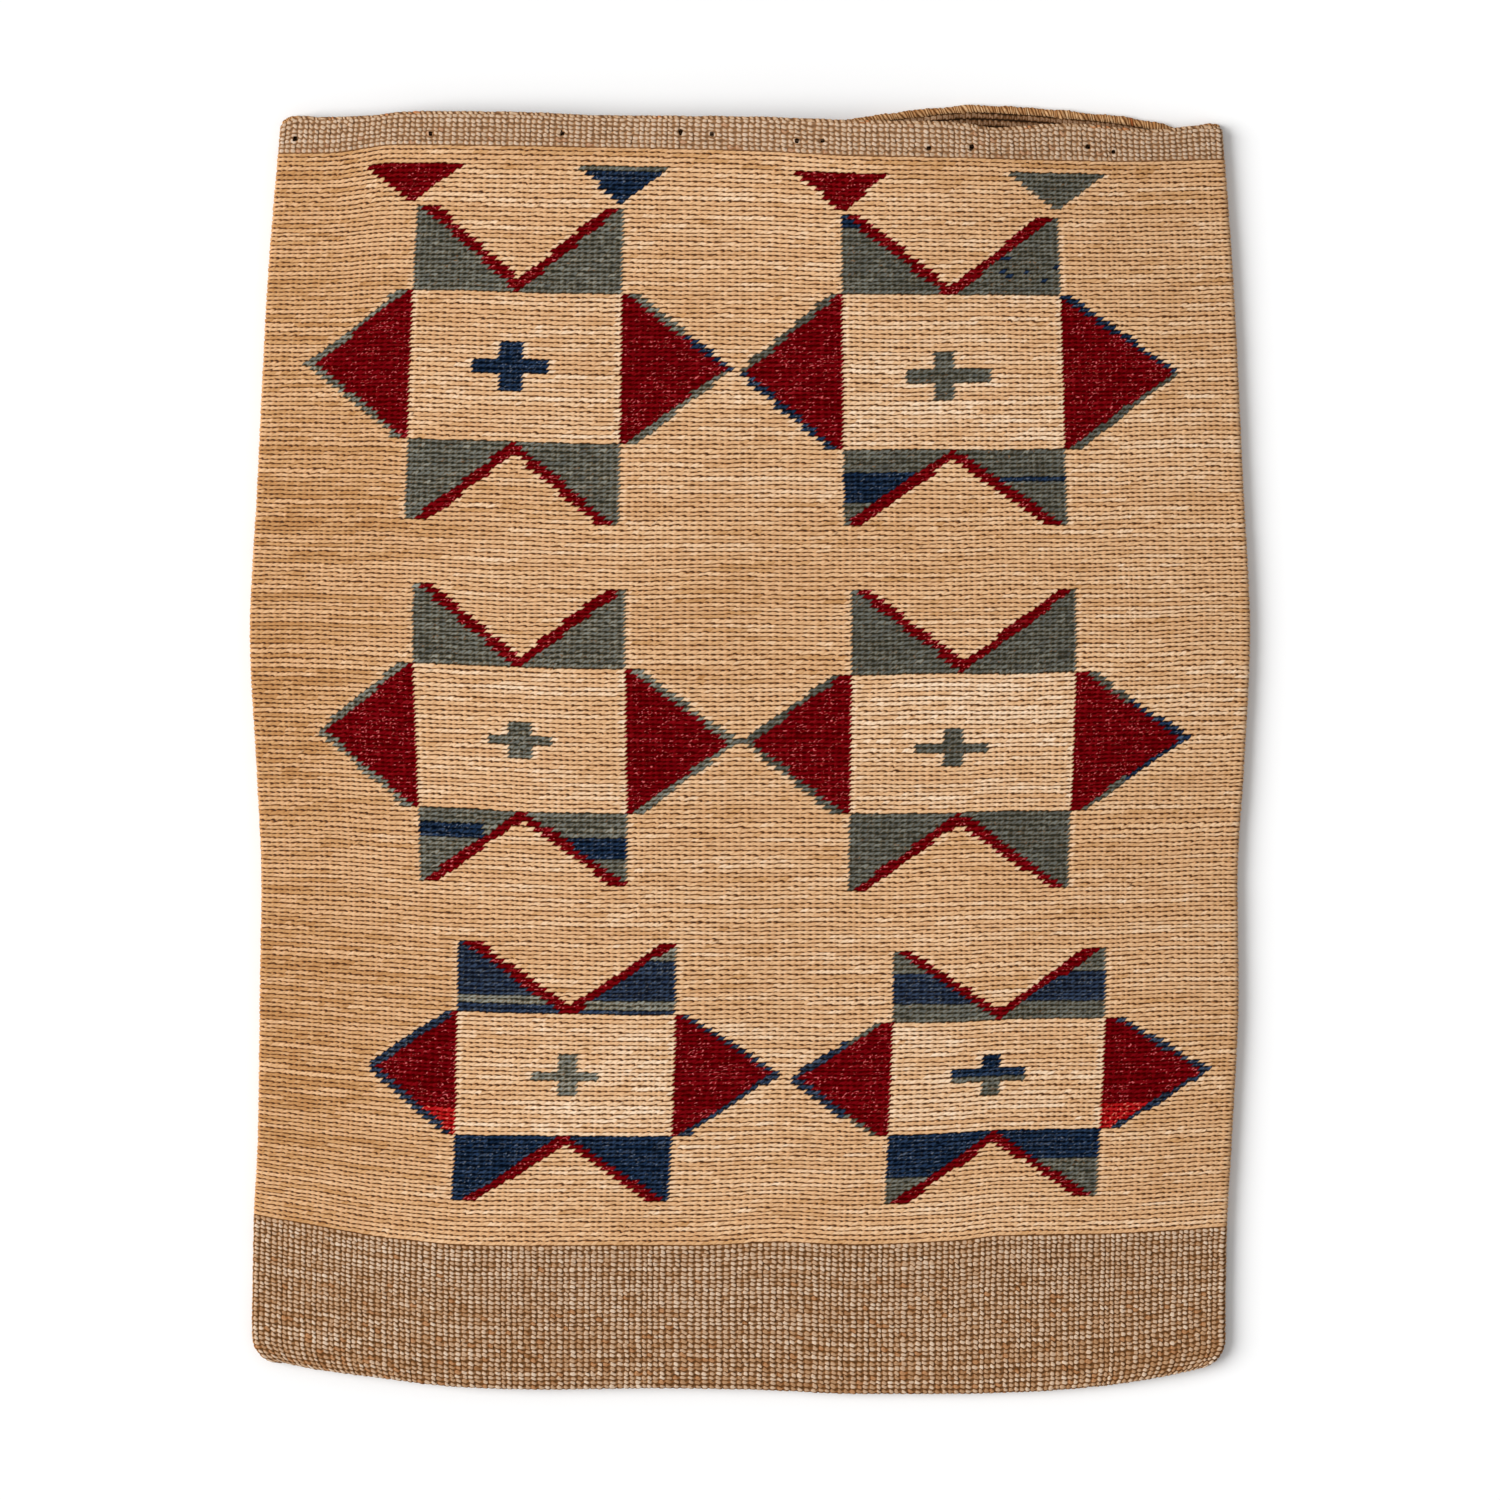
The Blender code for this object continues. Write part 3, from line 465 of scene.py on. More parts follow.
def fibre(name, tones, painted_shade, crevice, gap, streak, roughness, least=0.25, deep=0.8,
          pit_place=0.72, slant=0.6, shine=0.0, fleck=None, fleck_share=0.0, speck_and_glint_scale=None):
    """Twined fibre: one colour to a stitch, with painted shade between rows and stitches.

    tones are the colours from the darkest to the lightest stitch, then comes
    the colour of the shade painted in the crevices, crevice is their share of
    a row, least how far they narrow, deep how far they widen in a pit, gap how
    dark the painted shade at the ends of a stitch is, and streak how far its
    fibres differ.  The pits lie at a place along the stitch, which moves left
    over the row by the slant, and the flank beside a crevice gets a warm
    painted shade.  A share of the stitches has the fleck colour, in specks of
    the given scale or all over.
    """
    material = bpy.data.materials.new(name)
    material.use_nodes = True
    tree = material.node_tree
    shader = tree.nodes["Principled BSDF"]
    weave = add_node(tree, "ShaderNodeUVMap", uv_map="weave").outputs["UV"]
    apart = add_node(tree, "ShaderNodeSeparateXYZ", {0: weave})
    tone = add_node(tree, "ShaderNodeAttribute", attribute_name="tone").outputs["Fac"]

    def math_node(operation, *values):
        return add_node(tree, "ShaderNodeMath", dict(enumerate(values)),
                        operation=operation).outputs[0]

    along_fibres = add_node(tree, "ShaderNodeMapping", {
        "Vector": weave, "Rotation": (0.0, 0.0, FIBRE_SLOPE), "Scale": FIBRE_SIZE},
        vector_type="TEXTURE").outputs[0]
    fibres = add_node(tree, "ShaderNodeTexNoise",
                      {"Vector": along_fibres, "Scale": 1.0, "Detail": 2.0}).outputs[0]
    blotch = add_node(tree, "ShaderNodeTexNoise",
                      {"Vector": weave, "Scale": BLOTCH_SCALE, "Detail": 1.0}).outputs[0]

    # painted shade: the crevices between rows, widest in the pits, and the stitch ends are
    # darkened towards the crevice colour
    climb = math_node("FRACT", apart.outputs[1])
    from_row_edge = math_node("PINGPONG", apart.outputs[1], 0.5)
    from_stitch_end = math_node("PINGPONG", apart.outputs[0], 0.5)
    place = math_node("MULTIPLY_ADD", climb, slant, apart.outputs[0])
    place = math_node("FRACT", math_node("ADD", place, 0.5 - pit_place))
    pit = ramp(tree, place, PIT_STOPS)
    tight = add_node(tree, "ShaderNodeMapping", {"Vector": weave, "Scale": TIGHT_SCALE})
    tight = add_node(tree, "ShaderNodeTexNoise",
                     {"Vector": tight.outputs[0], "Scale": 1.0, "Detail": 1.0}).outputs[0]
    width = math_node("MULTIPLY_ADD", pit, deep, math_node("MULTIPLY_ADD", blotch, 2.4, -0.4))
    width = math_node("MULTIPLY", width, math_node("MULTIPLY_ADD", tight, 1.6, 0.2))
    width = math_node("MULTIPLY", math_node("MAXIMUM", width, least), crevice)
    row_open = math_node("DIVIDE", from_row_edge, width)
    row_open = add_node(tree, "ShaderNodeMapRange", {
        "Value": row_open, "From Min": 0.2, "From Max": 2.0}, interpolation_type="SMOOTHSTEP")
    end_open = add_node(tree, "ShaderNodeMapRange", {
        "Value": from_stitch_end, "From Min": 0.0, "From Max": 0.2, "To Min": 1 - gap,
        "To Max": 1.0}, interpolation_type="SMOOTHSTEP")
    shown = math_node("MULTIPLY", row_open.outputs[0], end_open.outputs[0])

    last = len(tones) - 1
    dyed = ramp(tree, tone, [(i / last, seen(*colour)) for i, colour in enumerate(tones)])
    if fleck:
        chosen = add_node(tree, "ShaderNodeAttribute", attribute_name="fleck").outputs["Fac"]
        spot = math_node("GREATER_THAN", chosen, 1 - fleck_share)
        part = spot
        if speck_and_glint_scale:
            speck = add_node(tree, "ShaderNodeTexNoise",
                             {"Vector": weave, "Scale": speck_and_glint_scale, "Detail": 0.0}).outputs[0]
            part = math_node("MULTIPLY", spot, ramp(tree, speck, SPECK_STOPS))
        dyed = add_node(tree, "ShaderNodeMix", {
            "Factor": part, 6: dyed, 7: seen(*fleck)}, data_type="RGBA").outputs[2]
    light = add_node(tree, "ShaderNodeMapRange", {
        "Value": fibres, "From Min": 0.3, "From Max": 0.7,
        "To Min": 1 - streak, "To Max": 1 + streak})
    streaked = add_node(tree, "ShaderNodeVectorMath", {0: dyed, "Scale": light.outputs[0]},
                        operation="SCALE")
    # a warm painted shade on the flank beside each crevice
    flank_shade = ramp(tree, shown, ((0.0, 1.0), (0.4, seen(*WARM_FLANK_SHADE)), (1.0, 1.0)))
    streaked = add_node(tree, "ShaderNodeVectorMath", {0: streaked.outputs[0], 1: flank_shade},
                        operation="MULTIPLY")
    colour = add_node(tree, "ShaderNodeMix", {
        "Factor": shown, 6: seen(*painted_shade), 7: streaked.outputs[0]}, data_type="RGBA")
    tree.links.new(colour.outputs[2], shader.inputs["Base Color"])
    bump = add_node(tree, "ShaderNodeBump", {
        "Strength": 0.5, "Distance": FIBRE_RELIEF, "Height": fibres})
    tree.links.new(bump.outputs[0], shader.inputs["Normal"])
    shader.inputs["Roughness"].default_value = roughness
    shader.inputs["Specular IOR Level"].default_value = shine
    return material


# The mouth opens as the front wall lifts off the back one: in the cloth the
# side folds stay closed and the middle rises.  Here the pieces of the front
# stay where they are laid, and those of the back are attached to the back wall.
MIDDLE_STITCH = 77


def hang_on_front(piece, side, record_slot, *nodes):
    """Fix a piece of the front wall where it lies, and hide its parts; record_slot is not used."""
    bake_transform(piece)
    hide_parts(*nodes)


def fix_to_back(piece, record_slot, *nodes):
    """Let a piece lie with the back wall, and hide its parts; record_slot is not used."""
    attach(piece, "back_leaf")
    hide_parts(*nodes)


# The bottom is plain hemp: Indian hemp cord of two tones, twined without a
# facing, so that every stitch shows as a short slanted lump and the stitches
# of one strand stand in upright columns.
HEMP_RIDGE = 0.00070
HEMP_GROOVE = 0.00046
HEMP_UNLIKE = 0.20
HEMP_TONE = 0.66
HEMP_RUN = 20
REDDER_LOW_SHARE = 0.08
# how far the strands' and the runs' tones differ, and how much more at the
# foot, how much darker the foot is, and the chance in columns and stitches
STRAND_SPREAD, STRAND_FOOT_SPREAD = 0.06, 0.26
RUN_SPREAD, RUN_FOOT_SPREAD = 0.24, 0.20
FOOT_SHADE = 0.11
COLUMN_SPREAD = 0.02
STITCH_SPREAD = 0.10

hemp = fibre(
    "hemp", ((147, 104, 67), (174, 137, 103), (194, 166, 140), (210, 188, 166)),
    painted_shade=(90, 58, 30), crevice=0.13, gap=0.36, streak=0.18, roughness=0.9, least=0.3,
    deep=1.8, pit_place=0.0, slant=0.0, fleck=(172, 126, 88), fleck_share=0.04)


def hemp_tones(dice, rows, stitches):
    """Tone of plain hemp, 0 to 1, for each stitch.

    Alternate strands differ, most in the lowest rows, which are also darker.
    A strand keeps its own tone for a run of stitches, and a little chance is
    added for each column and each stitch.
    """
    shape = (rows, stitches)
    low = 1 - np.arange(rows)[:, None] / rows
    strand = np.where(np.arange(stitches) % 2, 0.5, -0.5)[None, :]
    strand = strand * (STRAND_SPREAD + STRAND_FOOT_SPREAD * low ** 2)
    column = COLUMN_SPREAD * dice.normal(size=stitches)[None, :]
    run = (RUN_SPREAD + RUN_FOOT_SPREAD * low) * (strand_runs(dice, shape, HEMP_RUN) - 0.5)
    stitch = STITCH_SPREAD * dice.normal(size=shape)
    return (HEMP_TONE - FOOT_SHADE * low + strand + column + run + stitch).clip(0, 1)


def hemp_flecks(dice, rows, stitches):
    """Which stitches are of a redder cord, mostly in the lowest rows."""
    height = np.arange(rows)[:, None] / rows
    return dice.random((rows, stitches)) + REDDER_LOW_SHARE * (0.4 - height)


def half_masks(rows):
    """Left and right half of one face of the bag, as arrays of stitches."""
    left = np.zeros((rows, STITCHES), bool)
    left[:, :MIDDLE_STITCH] = True
    return ((-1, "left", left), (1, "right", ~left))


for face, first, kind in (("front", 0, HEMP_FRONT), ("back", STITCHES, HEMP_BACK)):
    cloth = twine(0, BOTTOM_ROWS, first, kind, HEMP_RIDGE, HEMP_GROOVE, HEMP_UNLIKE)
    tone = hemp_tones(chance, BOTTOM_ROWS, STITCHES)
    fleck = hemp_flecks(chance, BOTTOM_ROWS, STITCHES)
    whole = np.ones((BOTTOM_ROWS, STITCHES), bool)
    piece = twined_piece(f"bottom_{face}", cloth, whole, [hemp], tone, fleck)
    fix_to_back(piece, "hemp", "bottom_band")


# The wool figures.  Dyed yarn takes the place of husk over the same wefts:
# four triangles hang under the top band, and below them stand six stars,
# each of two winged blocks with a red vee, two red points and a cross.
WOOL_RIDGE = 0.00080
WOOL_GROOVE = 0.00035
WOOL_RUN = 7
WOOL_TONE = 0.5
WOOL_STITCH_SPREAD = 0.12
WOOL_RUN_SPREAD = 0.14
PLAIN_GREEN = 0.45
VEE_MARGIN = 0.0018
VEE_WIDTH = 0.0070
VEE_FOOT = -0.0008
EDGING = 0.0044
HALF_STITCH = 0.0013
CROSS_ARM_THICK = 0.0046
CROSS_UPRIGHT = 0.0085
STRAY_SHARE = 0.07
STRAY_HEIGHT_SHARE = 0.35
STRAY_REACH_SHARE = 0.2
GREEN_TOP_SHARE = 0.12

# middle of the box, half the block, half the box, upper wings, lower wings,
# left reach and right reach
STAR_SHARES = {
    "top_left": (-0.467, 0.592, 0.208, 0.118, 0.127, 0.122, 0.210, 0.222),
    "top_right": (0.402, 0.581, 0.220, 0.1186, 0.1225, 0.1147, 0.202, 0.234),
    "middle_left": (-0.457, 0.015, 0.213, 0.111, 0.1225, 0.110, 0.192, 0.216),
    "middle_right": (0.423, 0.010, 0.225, 0.111, 0.123, 0.113, 0.210, 0.226),
    "bottom_left": (-0.366, -0.505, 0.218, 0.0938, 0.1085, 0.1023, 0.178, 0.204),
    "bottom_right": (0.492, -0.504, 0.216, 0.0884, 0.107, 0.1054, 0.196, 0.208),
}
# middle, top edge, half its width and height
TRIANGLE_SHARES = (
    (-0.670, 0.9050, 0.093, 0.0605),
    (-0.252, 0.8980, 0.090, 0.0570),
    (0.181, 0.8880, 0.092, 0.0575),
    (0.611, 0.8880, 0.096, 0.0575),
)

# tones, painted shade in the crevices, gap, streak, fleck, share of flecks and scale of the specks
WOOL_DYES = {
    "red": (((82, 0, 4), (101, 3, 11), (118, 9, 17), (144, 32, 40)),
            (62, 0, 0), 0.40, 0.20, (200, 94, 98), 0.45, 3.0),
    "bright_red": (((130, 4, 8), (162, 17, 22), (184, 31, 35), (210, 62, 62)),
                   (80, 0, 0), 0.40, 0.20, (232, 130, 112), 0.5, 3.0),
    "green": (((70, 71, 67), (91, 93, 88), (113, 115, 108), (144, 144, 134)),
              (40, 40, 32), 0.45, 0.22, (122, 98, 74), 0.12, 2.6),
    "navy": (((10, 26, 50), (25, 43, 69), (40, 58, 86), (82, 96, 118)),
             (2, 8, 20), 0.5, 0.25, (90, 100, 118), 0.5, 3.0),
    "slate": (((24, 34, 54), (37, 50, 74), (51, 66, 90), (88, 98, 112)),
              (8, 12, 22), 0.5, 0.22, (92, 100, 112), 0.5, 3.0),
}
wools = {}
# on red, navy and slate the pale specks are partly painted highlights on the wool and partly paler
# fibre; on green the brown specks are the yarn's own
for colour, (tones, painted_shade, gap, streak, fleck, fleck_share, speck_and_glint_scale) in WOOL_DYES.items():
    wools[colour] = fibre(
        "wool_" + colour, tones, painted_shade=painted_shade, crevice=0.16, gap=gap, streak=streak,
        roughness=0.95, fleck=fleck, fleck_share=fleck_share, speck_and_glint_scale=speck_and_glint_scale)
dye_order = list(wools)
WOOL_SLOTS = {"red": "red_wool", "green": "green_wool", "navy": "navy_wool",
              "slate": "slate_wool"}

# where the cross stands right of and above the middle of the box, and half
# its arms and half its upright, in shares of half the block and half the box
CROSS_SHARES = {
    "top_left": (-0.057, 0.000, 0.389, 0.332),
    "top_right": (-0.043, -0.027, 0.375, 0.309),
    "middle_left": (-0.009, -0.023, 0.324, 0.265),
    "middle_right": (-0.075, -0.054, 0.320, 0.272),
    "bottom_left": (-0.018, -0.010, 0.299, 0.335),
    "bottom_right": (-0.065, 0.021, 0.338, 0.348),
}

# what each star's cross, upper wings, lower wings and edging are dyed, and
# how light its green is
STAR_DYES = {
    "top_left": ("navy", "green", "green", "green", 0.56),
    "top_right": ("green", "green", "green", "green", 0.40),
    "middle_left": ("green", "green", "green", "green", 0.58),
    "middle_right": ("green", "green", "green", "green", 0.40),
    "bottom_left": ("green", "slate", "navy", "slate", 0.80),
    "bottom_right": ("navy", "slate", "navy", "slate", 0.50),
}
# stitches that were worked in another dye: star, figure, which side of it
# (0 for both), from and to in shares of its height, how far out, and the dye
DYE_CHANGE_SHARES = (
    ("top_left", "right_edging", 1, 0.60, 1.00, 0.0, "navy"),
    ("top_right", "upper_wings", -1, 0.82, 1.00, 0.84, "navy"),
    ("top_right", "lower_wings", -1, 0.31, 0.69, 0.0, "navy"),
    ("top_right", "lower_wings", 1, 0.34, 0.41, 0.40, "navy"),
    ("top_right", "left_edging", -1, 0.00, 1.00, 0.0, "navy"),
    ("top_right", "right_edging", 1, 0.00, 1.00, 0.0, "navy"),
    ("middle_left", "lower_wings", -1, 0.24, 0.42, 0.39, "navy"),
    ("middle_left", "lower_wings", 1, 0.35, 0.64, 0.0, "navy"),
    ("middle_right", "right_edging", 0, 0.45, 1.00, 0.0, "navy"),
    ("bottom_left", "upper_wings", -1, 0.13, 0.27, 0.0, "green"),
    ("bottom_left", "upper_wings", 1, 0.08, 0.22, 0.0, "green"),
    ("bottom_left", "upper_wings", 1, 0.78, 1.00, 0.55, "green"),
    ("bottom_left", "left_point", -1, 0.00, 0.80, 0.55, "bright_red"),
    ("bottom_right", "upper_wings", 0, 0.70, 1.00, 0.0, "green"),
    ("bottom_right", "upper_wings", 0, 0.00, 0.24, 0.0, "green"),
    ("bottom_right", "lower_wings", -1, 0.565, 1.00, 0.0, "green"),
    ("bottom_right", "lower_wings", 1, 0.436, 1.00, 0.0, "green"),
    ("bottom_right", "left_edging", 0, 0.00, 0.45, 0.0, "green"),
    ("bottom_right", "right_point", -1, 0.00, 0.80, 0.50, "bright_red"),
    ("bottom_right", "cross", -1, 0.10, 1.00, 0.0, "green"),
)

rows_here = np.arange(BOTTOM_ROWS, LAST_HUSK_ROW)[:, None] + 0.5
middles = lay_fabric(np.arange(STITCHES)[None, :] + 0.5, rows_here)


def around_a_place(x, y):
    """Distances of all stitches from a place, counted along row and warp.

    The nearest stitch is found.  A stitch is as far across as the one under
    it in that row, and as far up as the one beside it on that warp.
    """
    gap = np.hypot(middles[..., 0] - x, middles[..., 1] - y)
    row, stitch = np.unravel_index(gap.argmin(), gap.shape)
    across, up = middles[row, :, 0] - x, middles[:, stitch, 1] - y
    return np.broadcast_arrays(across[None, :], up[:, None])


def star_masks(shares, cross_shares):
    """Masks of the figures of one star, and shares along and out in each."""
    dx, dy = around_a_place(shares[0] * HALF_WIDTH, shares[1] * HALF_LENGTH)
    block, box = shares[2] * HALF_WIDTH, shares[3] * HALF_LENGTH
    out, masks = np.abs(dx), {}
    for label, sign, wing in (("upper", 1, shares[4] * HALF_LENGTH),
                              ("lower", -1, shares[5] * HALF_LENGTH)):
        height = sign * dy - box
        slope = (block - VEE_MARGIN) / (wing - VEE_FOOT)
        outer = (height - VEE_FOOT) * slope
        within = (out < block) & (height > 0) & (height < wing)
        vee = within & (out < outer) & (out > outer - VEE_WIDTH)
        share = height / wing
        masks[label + "_wings"] = (within & (out >= outer), np.sign(dx), share, out / block)
        masks[label + "_vee"] = (vee, np.sign(dx), share, out / block)
    for label, sign, reach in (("left", -1, shares[6] * HALF_WIDTH),
                               ("right", 1, shares[7] * HALF_WIDTH)):
        beyond = sign * dx - block
        edge = (reach - EDGING) * (1 - np.abs(dy) / box) + HALF_STITCH
        point = (beyond > 0) & (beyond < edge + EDGING) & (np.abs(dy) < box)
        edging = point & (beyond > edge)
        share, level = beyond / reach, np.abs(dy) / box
        masks[label + "_point"] = (point, np.sign(dy), share, level)
        masks[label + "_edging"] = (edging, np.sign(dy), share, level)
    right, up, arm, rise = (
        share * half for share, half in zip(cross_shares, (block, box, block, box)))
    out, height = np.abs(dx - right), dy - up
    cross = (out < arm) & (np.abs(height) < CROSS_ARM_THICK / 2)
    cross |= (out < CROSS_UPRIGHT / 2) & (np.abs(height) < rise)
    masks["cross"] = (cross, np.sign(height), np.abs(height) / rise, out / arm)
    return masks


walls = (HUSK_ROWS, STITCHES)
dye = np.full(walls, dye_order.index("red"))
wool_tone = WOOL_STITCH_SPREAD * chance.normal(size=walls)
wool_tone += WOOL_RUN_SPREAD * (strand_runs(chance, walls, WOOL_RUN) - 0.5)
wool_tone += WOOL_TONE
wool_fleck = chance.random(walls)
wool = np.zeros(walls, bool)
in_a_star = np.zeros(walls, bool)
figures = []
for star, shares in STAR_SHARES.items():
    masks = star_masks(shares, CROSS_SHARES[star])
    side = -1 if shares[0] < 0 else 1
    cross_dye, upper_dye, lower_dye, edging_dye, green_tone = STAR_DYES[star]
    for figure, colour in (("cross", cross_dye), ("upper_wings", upper_dye),
                           ("lower_wings", lower_dye), ("left_edging", edging_dye),
                           ("right_edging", edging_dye)):
        dye[masks[figure][0]] = dye_order.index(colour)
    for owner, figure, half, start, end, beyond, colour in DYE_CHANGE_SHARES:
        if owner == star:
            mask, halves, share, level = masks[figure]
            change = mask & (share >= start) & (share <= end) & (level >= beyond)
            if half:
                change &= halves == half
            if figure.endswith("_point"):
                change &= ~masks[figure.replace("point", "edging")][0]
            dye[change] = dye_order.index(colour)
    dx, dy = around_a_place(shares[0] * HALF_WIDTH, shares[1] * HALF_LENGTH)
    in_a_star |= (np.abs(dx) < shares[2] * HALF_WIDTH) & (np.abs(dy) < shares[3] * HALF_LENGTH)
    if star == "top_right":
        mask, halves, share, level = masks["upper_wings"]
        stray = mask & (halves > 0) & (wool_fleck < STRAY_SHARE)
        stray &= np.abs(share - STRAY_HEIGHT_SHARE) < STRAY_REACH_SHARE
        dye[stray] = dye_order.index("navy")
    for figure, (mask, *_) in masks.items():
        if not figure.endswith("_edging"):
            figures.append((f"{star}_star_{figure}", mask, side))
            wool |= mask
        wool_tone[mask & (dye == dye_order.index("green"))] += green_tone - PLAIN_GREEN
for number, (middle, top, half, height) in enumerate(TRIANGLE_SHARES):
    dx, dy = around_a_place(middle * HALF_WIDTH, top * HALF_LENGTH)
    height *= HALF_LENGTH
    mask = (dy < 0) & (np.abs(dx) < half * HALF_WIDTH * (1 + dy / height))
    dye[mask] = dye_order.index(("red", "navy", "red", "green")[number])
    if number == 1:
        dye[mask & (dy > -GREEN_TOP_SHARE * height)] = dye_order.index("green")
    figures.append((f"top_triangle_{number + 1}", mask, -1 if middle < 0 else 1))
    wool |= mask
wool_tone = wool_tone.clip(0, 1)

# wool and husk are wrapped over the same rows, the wool a little thicker
HUSK_RIDGE = 0.00074
HUSK_GROOVE = 0.00008
ridge = np.full(slips[0].shape, HUSK_RIDGE)
groove = np.full(slips[0].shape, HUSK_GROOVE)
ridge[BOTTOM_ROWS:LAST_HUSK_ROW, :STITCHES][wool] = WOOL_RIDGE
groove[BOTTOM_ROWS:LAST_HUSK_ROW, :STITCHES][wool] = WOOL_GROOVE
front_cloth = twine(BOTTOM_ROWS, LAST_HUSK_ROW, 0, WRAP_FRONT, ridge, groove)

for name, mask, side in figures:
    present = np.unique(dye[mask])
    order = np.searchsorted(present, dye)
    main = dye_order[np.bincount(dye[mask]).argmax()]
    piece = twined_piece(name + "_wool", front_cloth, mask, [wools[dye_order[i]] for i in present],
                         wool_tone, wool_fleck, np.minimum(order, len(present) - 1))
    hang_on_front(piece, side, WOOL_SLOTS.get(main, "red_wool"), name)


# The facing is corn husk: pale split husks wrapped round each weft as it is
# twined, smooth and a little shiny, their colour changing from husk to husk
# and palest where a husk is turned back beside the wool.
husk = fibre(
    "corn_husk",
    ((182, 133, 82), (199, 153, 104), (211, 167, 123), (218, 176, 132), (226, 190, 152),
     (234, 205, 173), (240, 215, 187)),
    painted_shade=(58, 26, 0), crevice=0.12, gap=0.16, streak=0.14, roughness=0.6, least=0.90,
    deep=0.25, shine=0.15)
HUSK_TONE = 0.18
HUSK_RUN, HUSK_RUN_SPREAD = 12, 0.36
PATCH_RUN, PATCH_SPREAD = 4, 0.20
DRIFT_STITCHES, DRIFT_ROWS, DRIFT_SPREAD = 70, 40, 0.08
HUSK_STITCH_SPREAD = 0.05
BESIDE_WOOL_TONE, BESIDE_WOOL_SPREAD = 0.44, 0.3
DARK_TOP_ROWS = 5
DARK_TOP_STEP = 0.12
STAR_STEP = 0.12
# painted shade on the left: how many stitches in from the left edge the husk is darkened, and how
# much at the edge
PAINTED_SHADE_LEFT_STITCHES = 40
PAINTED_SHADE_LEFT_STEP = 0.30


def husk_tones(dice, shape):
    """Tone of husk, 0 to 1, for each stitch.

    A long run of one husk, a shorter run of one strip of it, slow waves over
    the wall and a little chance are added up.  The last rows are darker.
    """
    run = strand_runs(dice, shape, HUSK_RUN)
    patch = strand_runs(dice, shape, PATCH_RUN)
    rows, stitches = np.arange(shape[0])[:, None], np.arange(shape[1])[None, :]
    drift = DRIFT_SPREAD * slow_waves(stitches / DRIFT_STITCHES, rows / DRIFT_ROWS, 21)
    tone = HUSK_TONE + HUSK_RUN_SPREAD * run + PATCH_SPREAD * patch + drift
    tone = tone + HUSK_STITCH_SPREAD * dice.normal(size=shape)
    tone[-DARK_TOP_ROWS:] -= DARK_TOP_STEP
    return tone.clip(0, 1)


husk_tone = husk_tones(chance, walls)
beside = np.zeros(walls, bool)
beside[:, 1:] |= wool[:, :-1]
beside[:, :-1] |= wool[:, 1:]
beside &= ~wool
husk_tone[beside] = (BESIDE_WOOL_TONE + BESIDE_WOOL_SPREAD * chance.random(walls))[beside]
husk_tone[in_a_star] += STAR_STEP
# painted shade, darkest at the left edge, which evens out the lamp's extra light on the left slope
# of the crown
husk_tone[:, :PAINTED_SHADE_LEFT_STITCHES] -= PAINTED_SHADE_LEFT_STEP * (
    1 - np.arange(PAINTED_SHADE_LEFT_STITCHES) / PAINTED_SHADE_LEFT_STITCHES)
husk_tone = husk_tone.clip(0, 1)
husk_fleck = chance.random(walls)
upper = np.broadcast_to(np.arange(HUSK_ROWS)[:, None] >= HUSK_ROWS // 2, walls)
quarters = [(f"{level}_{word}", side, half & zone)
            for level, zone in (("lower", ~upper), ("upper", upper))
            for side, word, half in half_masks(HUSK_ROWS)]
for part, side, zone in quarters:
    piece = twined_piece("husk_front_" + part, front_cloth, zone & ~wool, [husk], husk_tone,
                         husk_fleck)
    hang_on_front(piece, side, "husk", "husk_front")

back_cloth = twine(BOTTOM_ROWS, LAST_HUSK_ROW, STITCHES, WRAP_BACK, ridge, groove)
back_tone = husk_tones(chance, walls)
for part, side, zone in quarters:
    piece = twined_piece("husk_back_" + part, back_cloth, zone, [husk], back_tone, husk_fleck)
    fix_to_back(piece, "husk", "husk_back")


# The top band is plain hemp again.  Along its middle the front has small
# holes, where the stitches were pushed apart for a lacing cord.
LACING_HOLE_RADIUS = 0.0007
BARE_RADIUS = 1.4 * LACING_HOLE_RADIUS
HOLE_REACH = 0.0034
# places across, and heights between the husk and the lip
LACING_HOLE_SHARES = (
    (-0.910, 0.50), (-0.638, 0.45), (-0.374, 0.55), (-0.138, 0.68), (-0.076, 0.60),
    (0.094, 0.48), (0.144, 0.52), (0.356, 0.33), (0.442, 0.42), (0.674, 0.50), (0.726, 0.36),
)


def hole_middles():
    """Middles of the lacing holes, between the husk and the lip."""
    across, height = np.array(LACING_HOLE_SHARES).T
    low = read_curve(HIGH_LINE_PLACE_SHARES, HIGH_LINE_SHARES, across)
    lip = read_curve(FRONT_LIP_PLACE_SHARES, FRONT_LIP_SHARES, across)
    room = lip - BACK_RIM / HALF_LENGTH - low
    return np.stack([across * HALF_WIDTH, (low + height * room) * HALF_LENGTH], axis=-1)


def push_apart(points):
    """Push a surface's points out of the lacing holes, and down at the rim.

    A point within reach of a hole moves out along its ray, so that the
    middle goes to the hole's edge and the reach stays where it is.
    """
    moved = points.copy()
    for hole in hole_middles():
        away = points[..., :2] - hole
        far = np.maximum(np.hypot(away[..., 0], away[..., 1]), 1e-9)
        near = far < HOLE_REACH
        room = 1 - far / HOLE_REACH
        shift = np.where(near, LACING_HOLE_RADIUS * room / far, 0)
        moved[..., :2] += away * shift[..., None]
        moved[..., 2] -= np.where(near, LACING_HOLE_RADIUS * room ** 2 / 2, 0)
    return moved


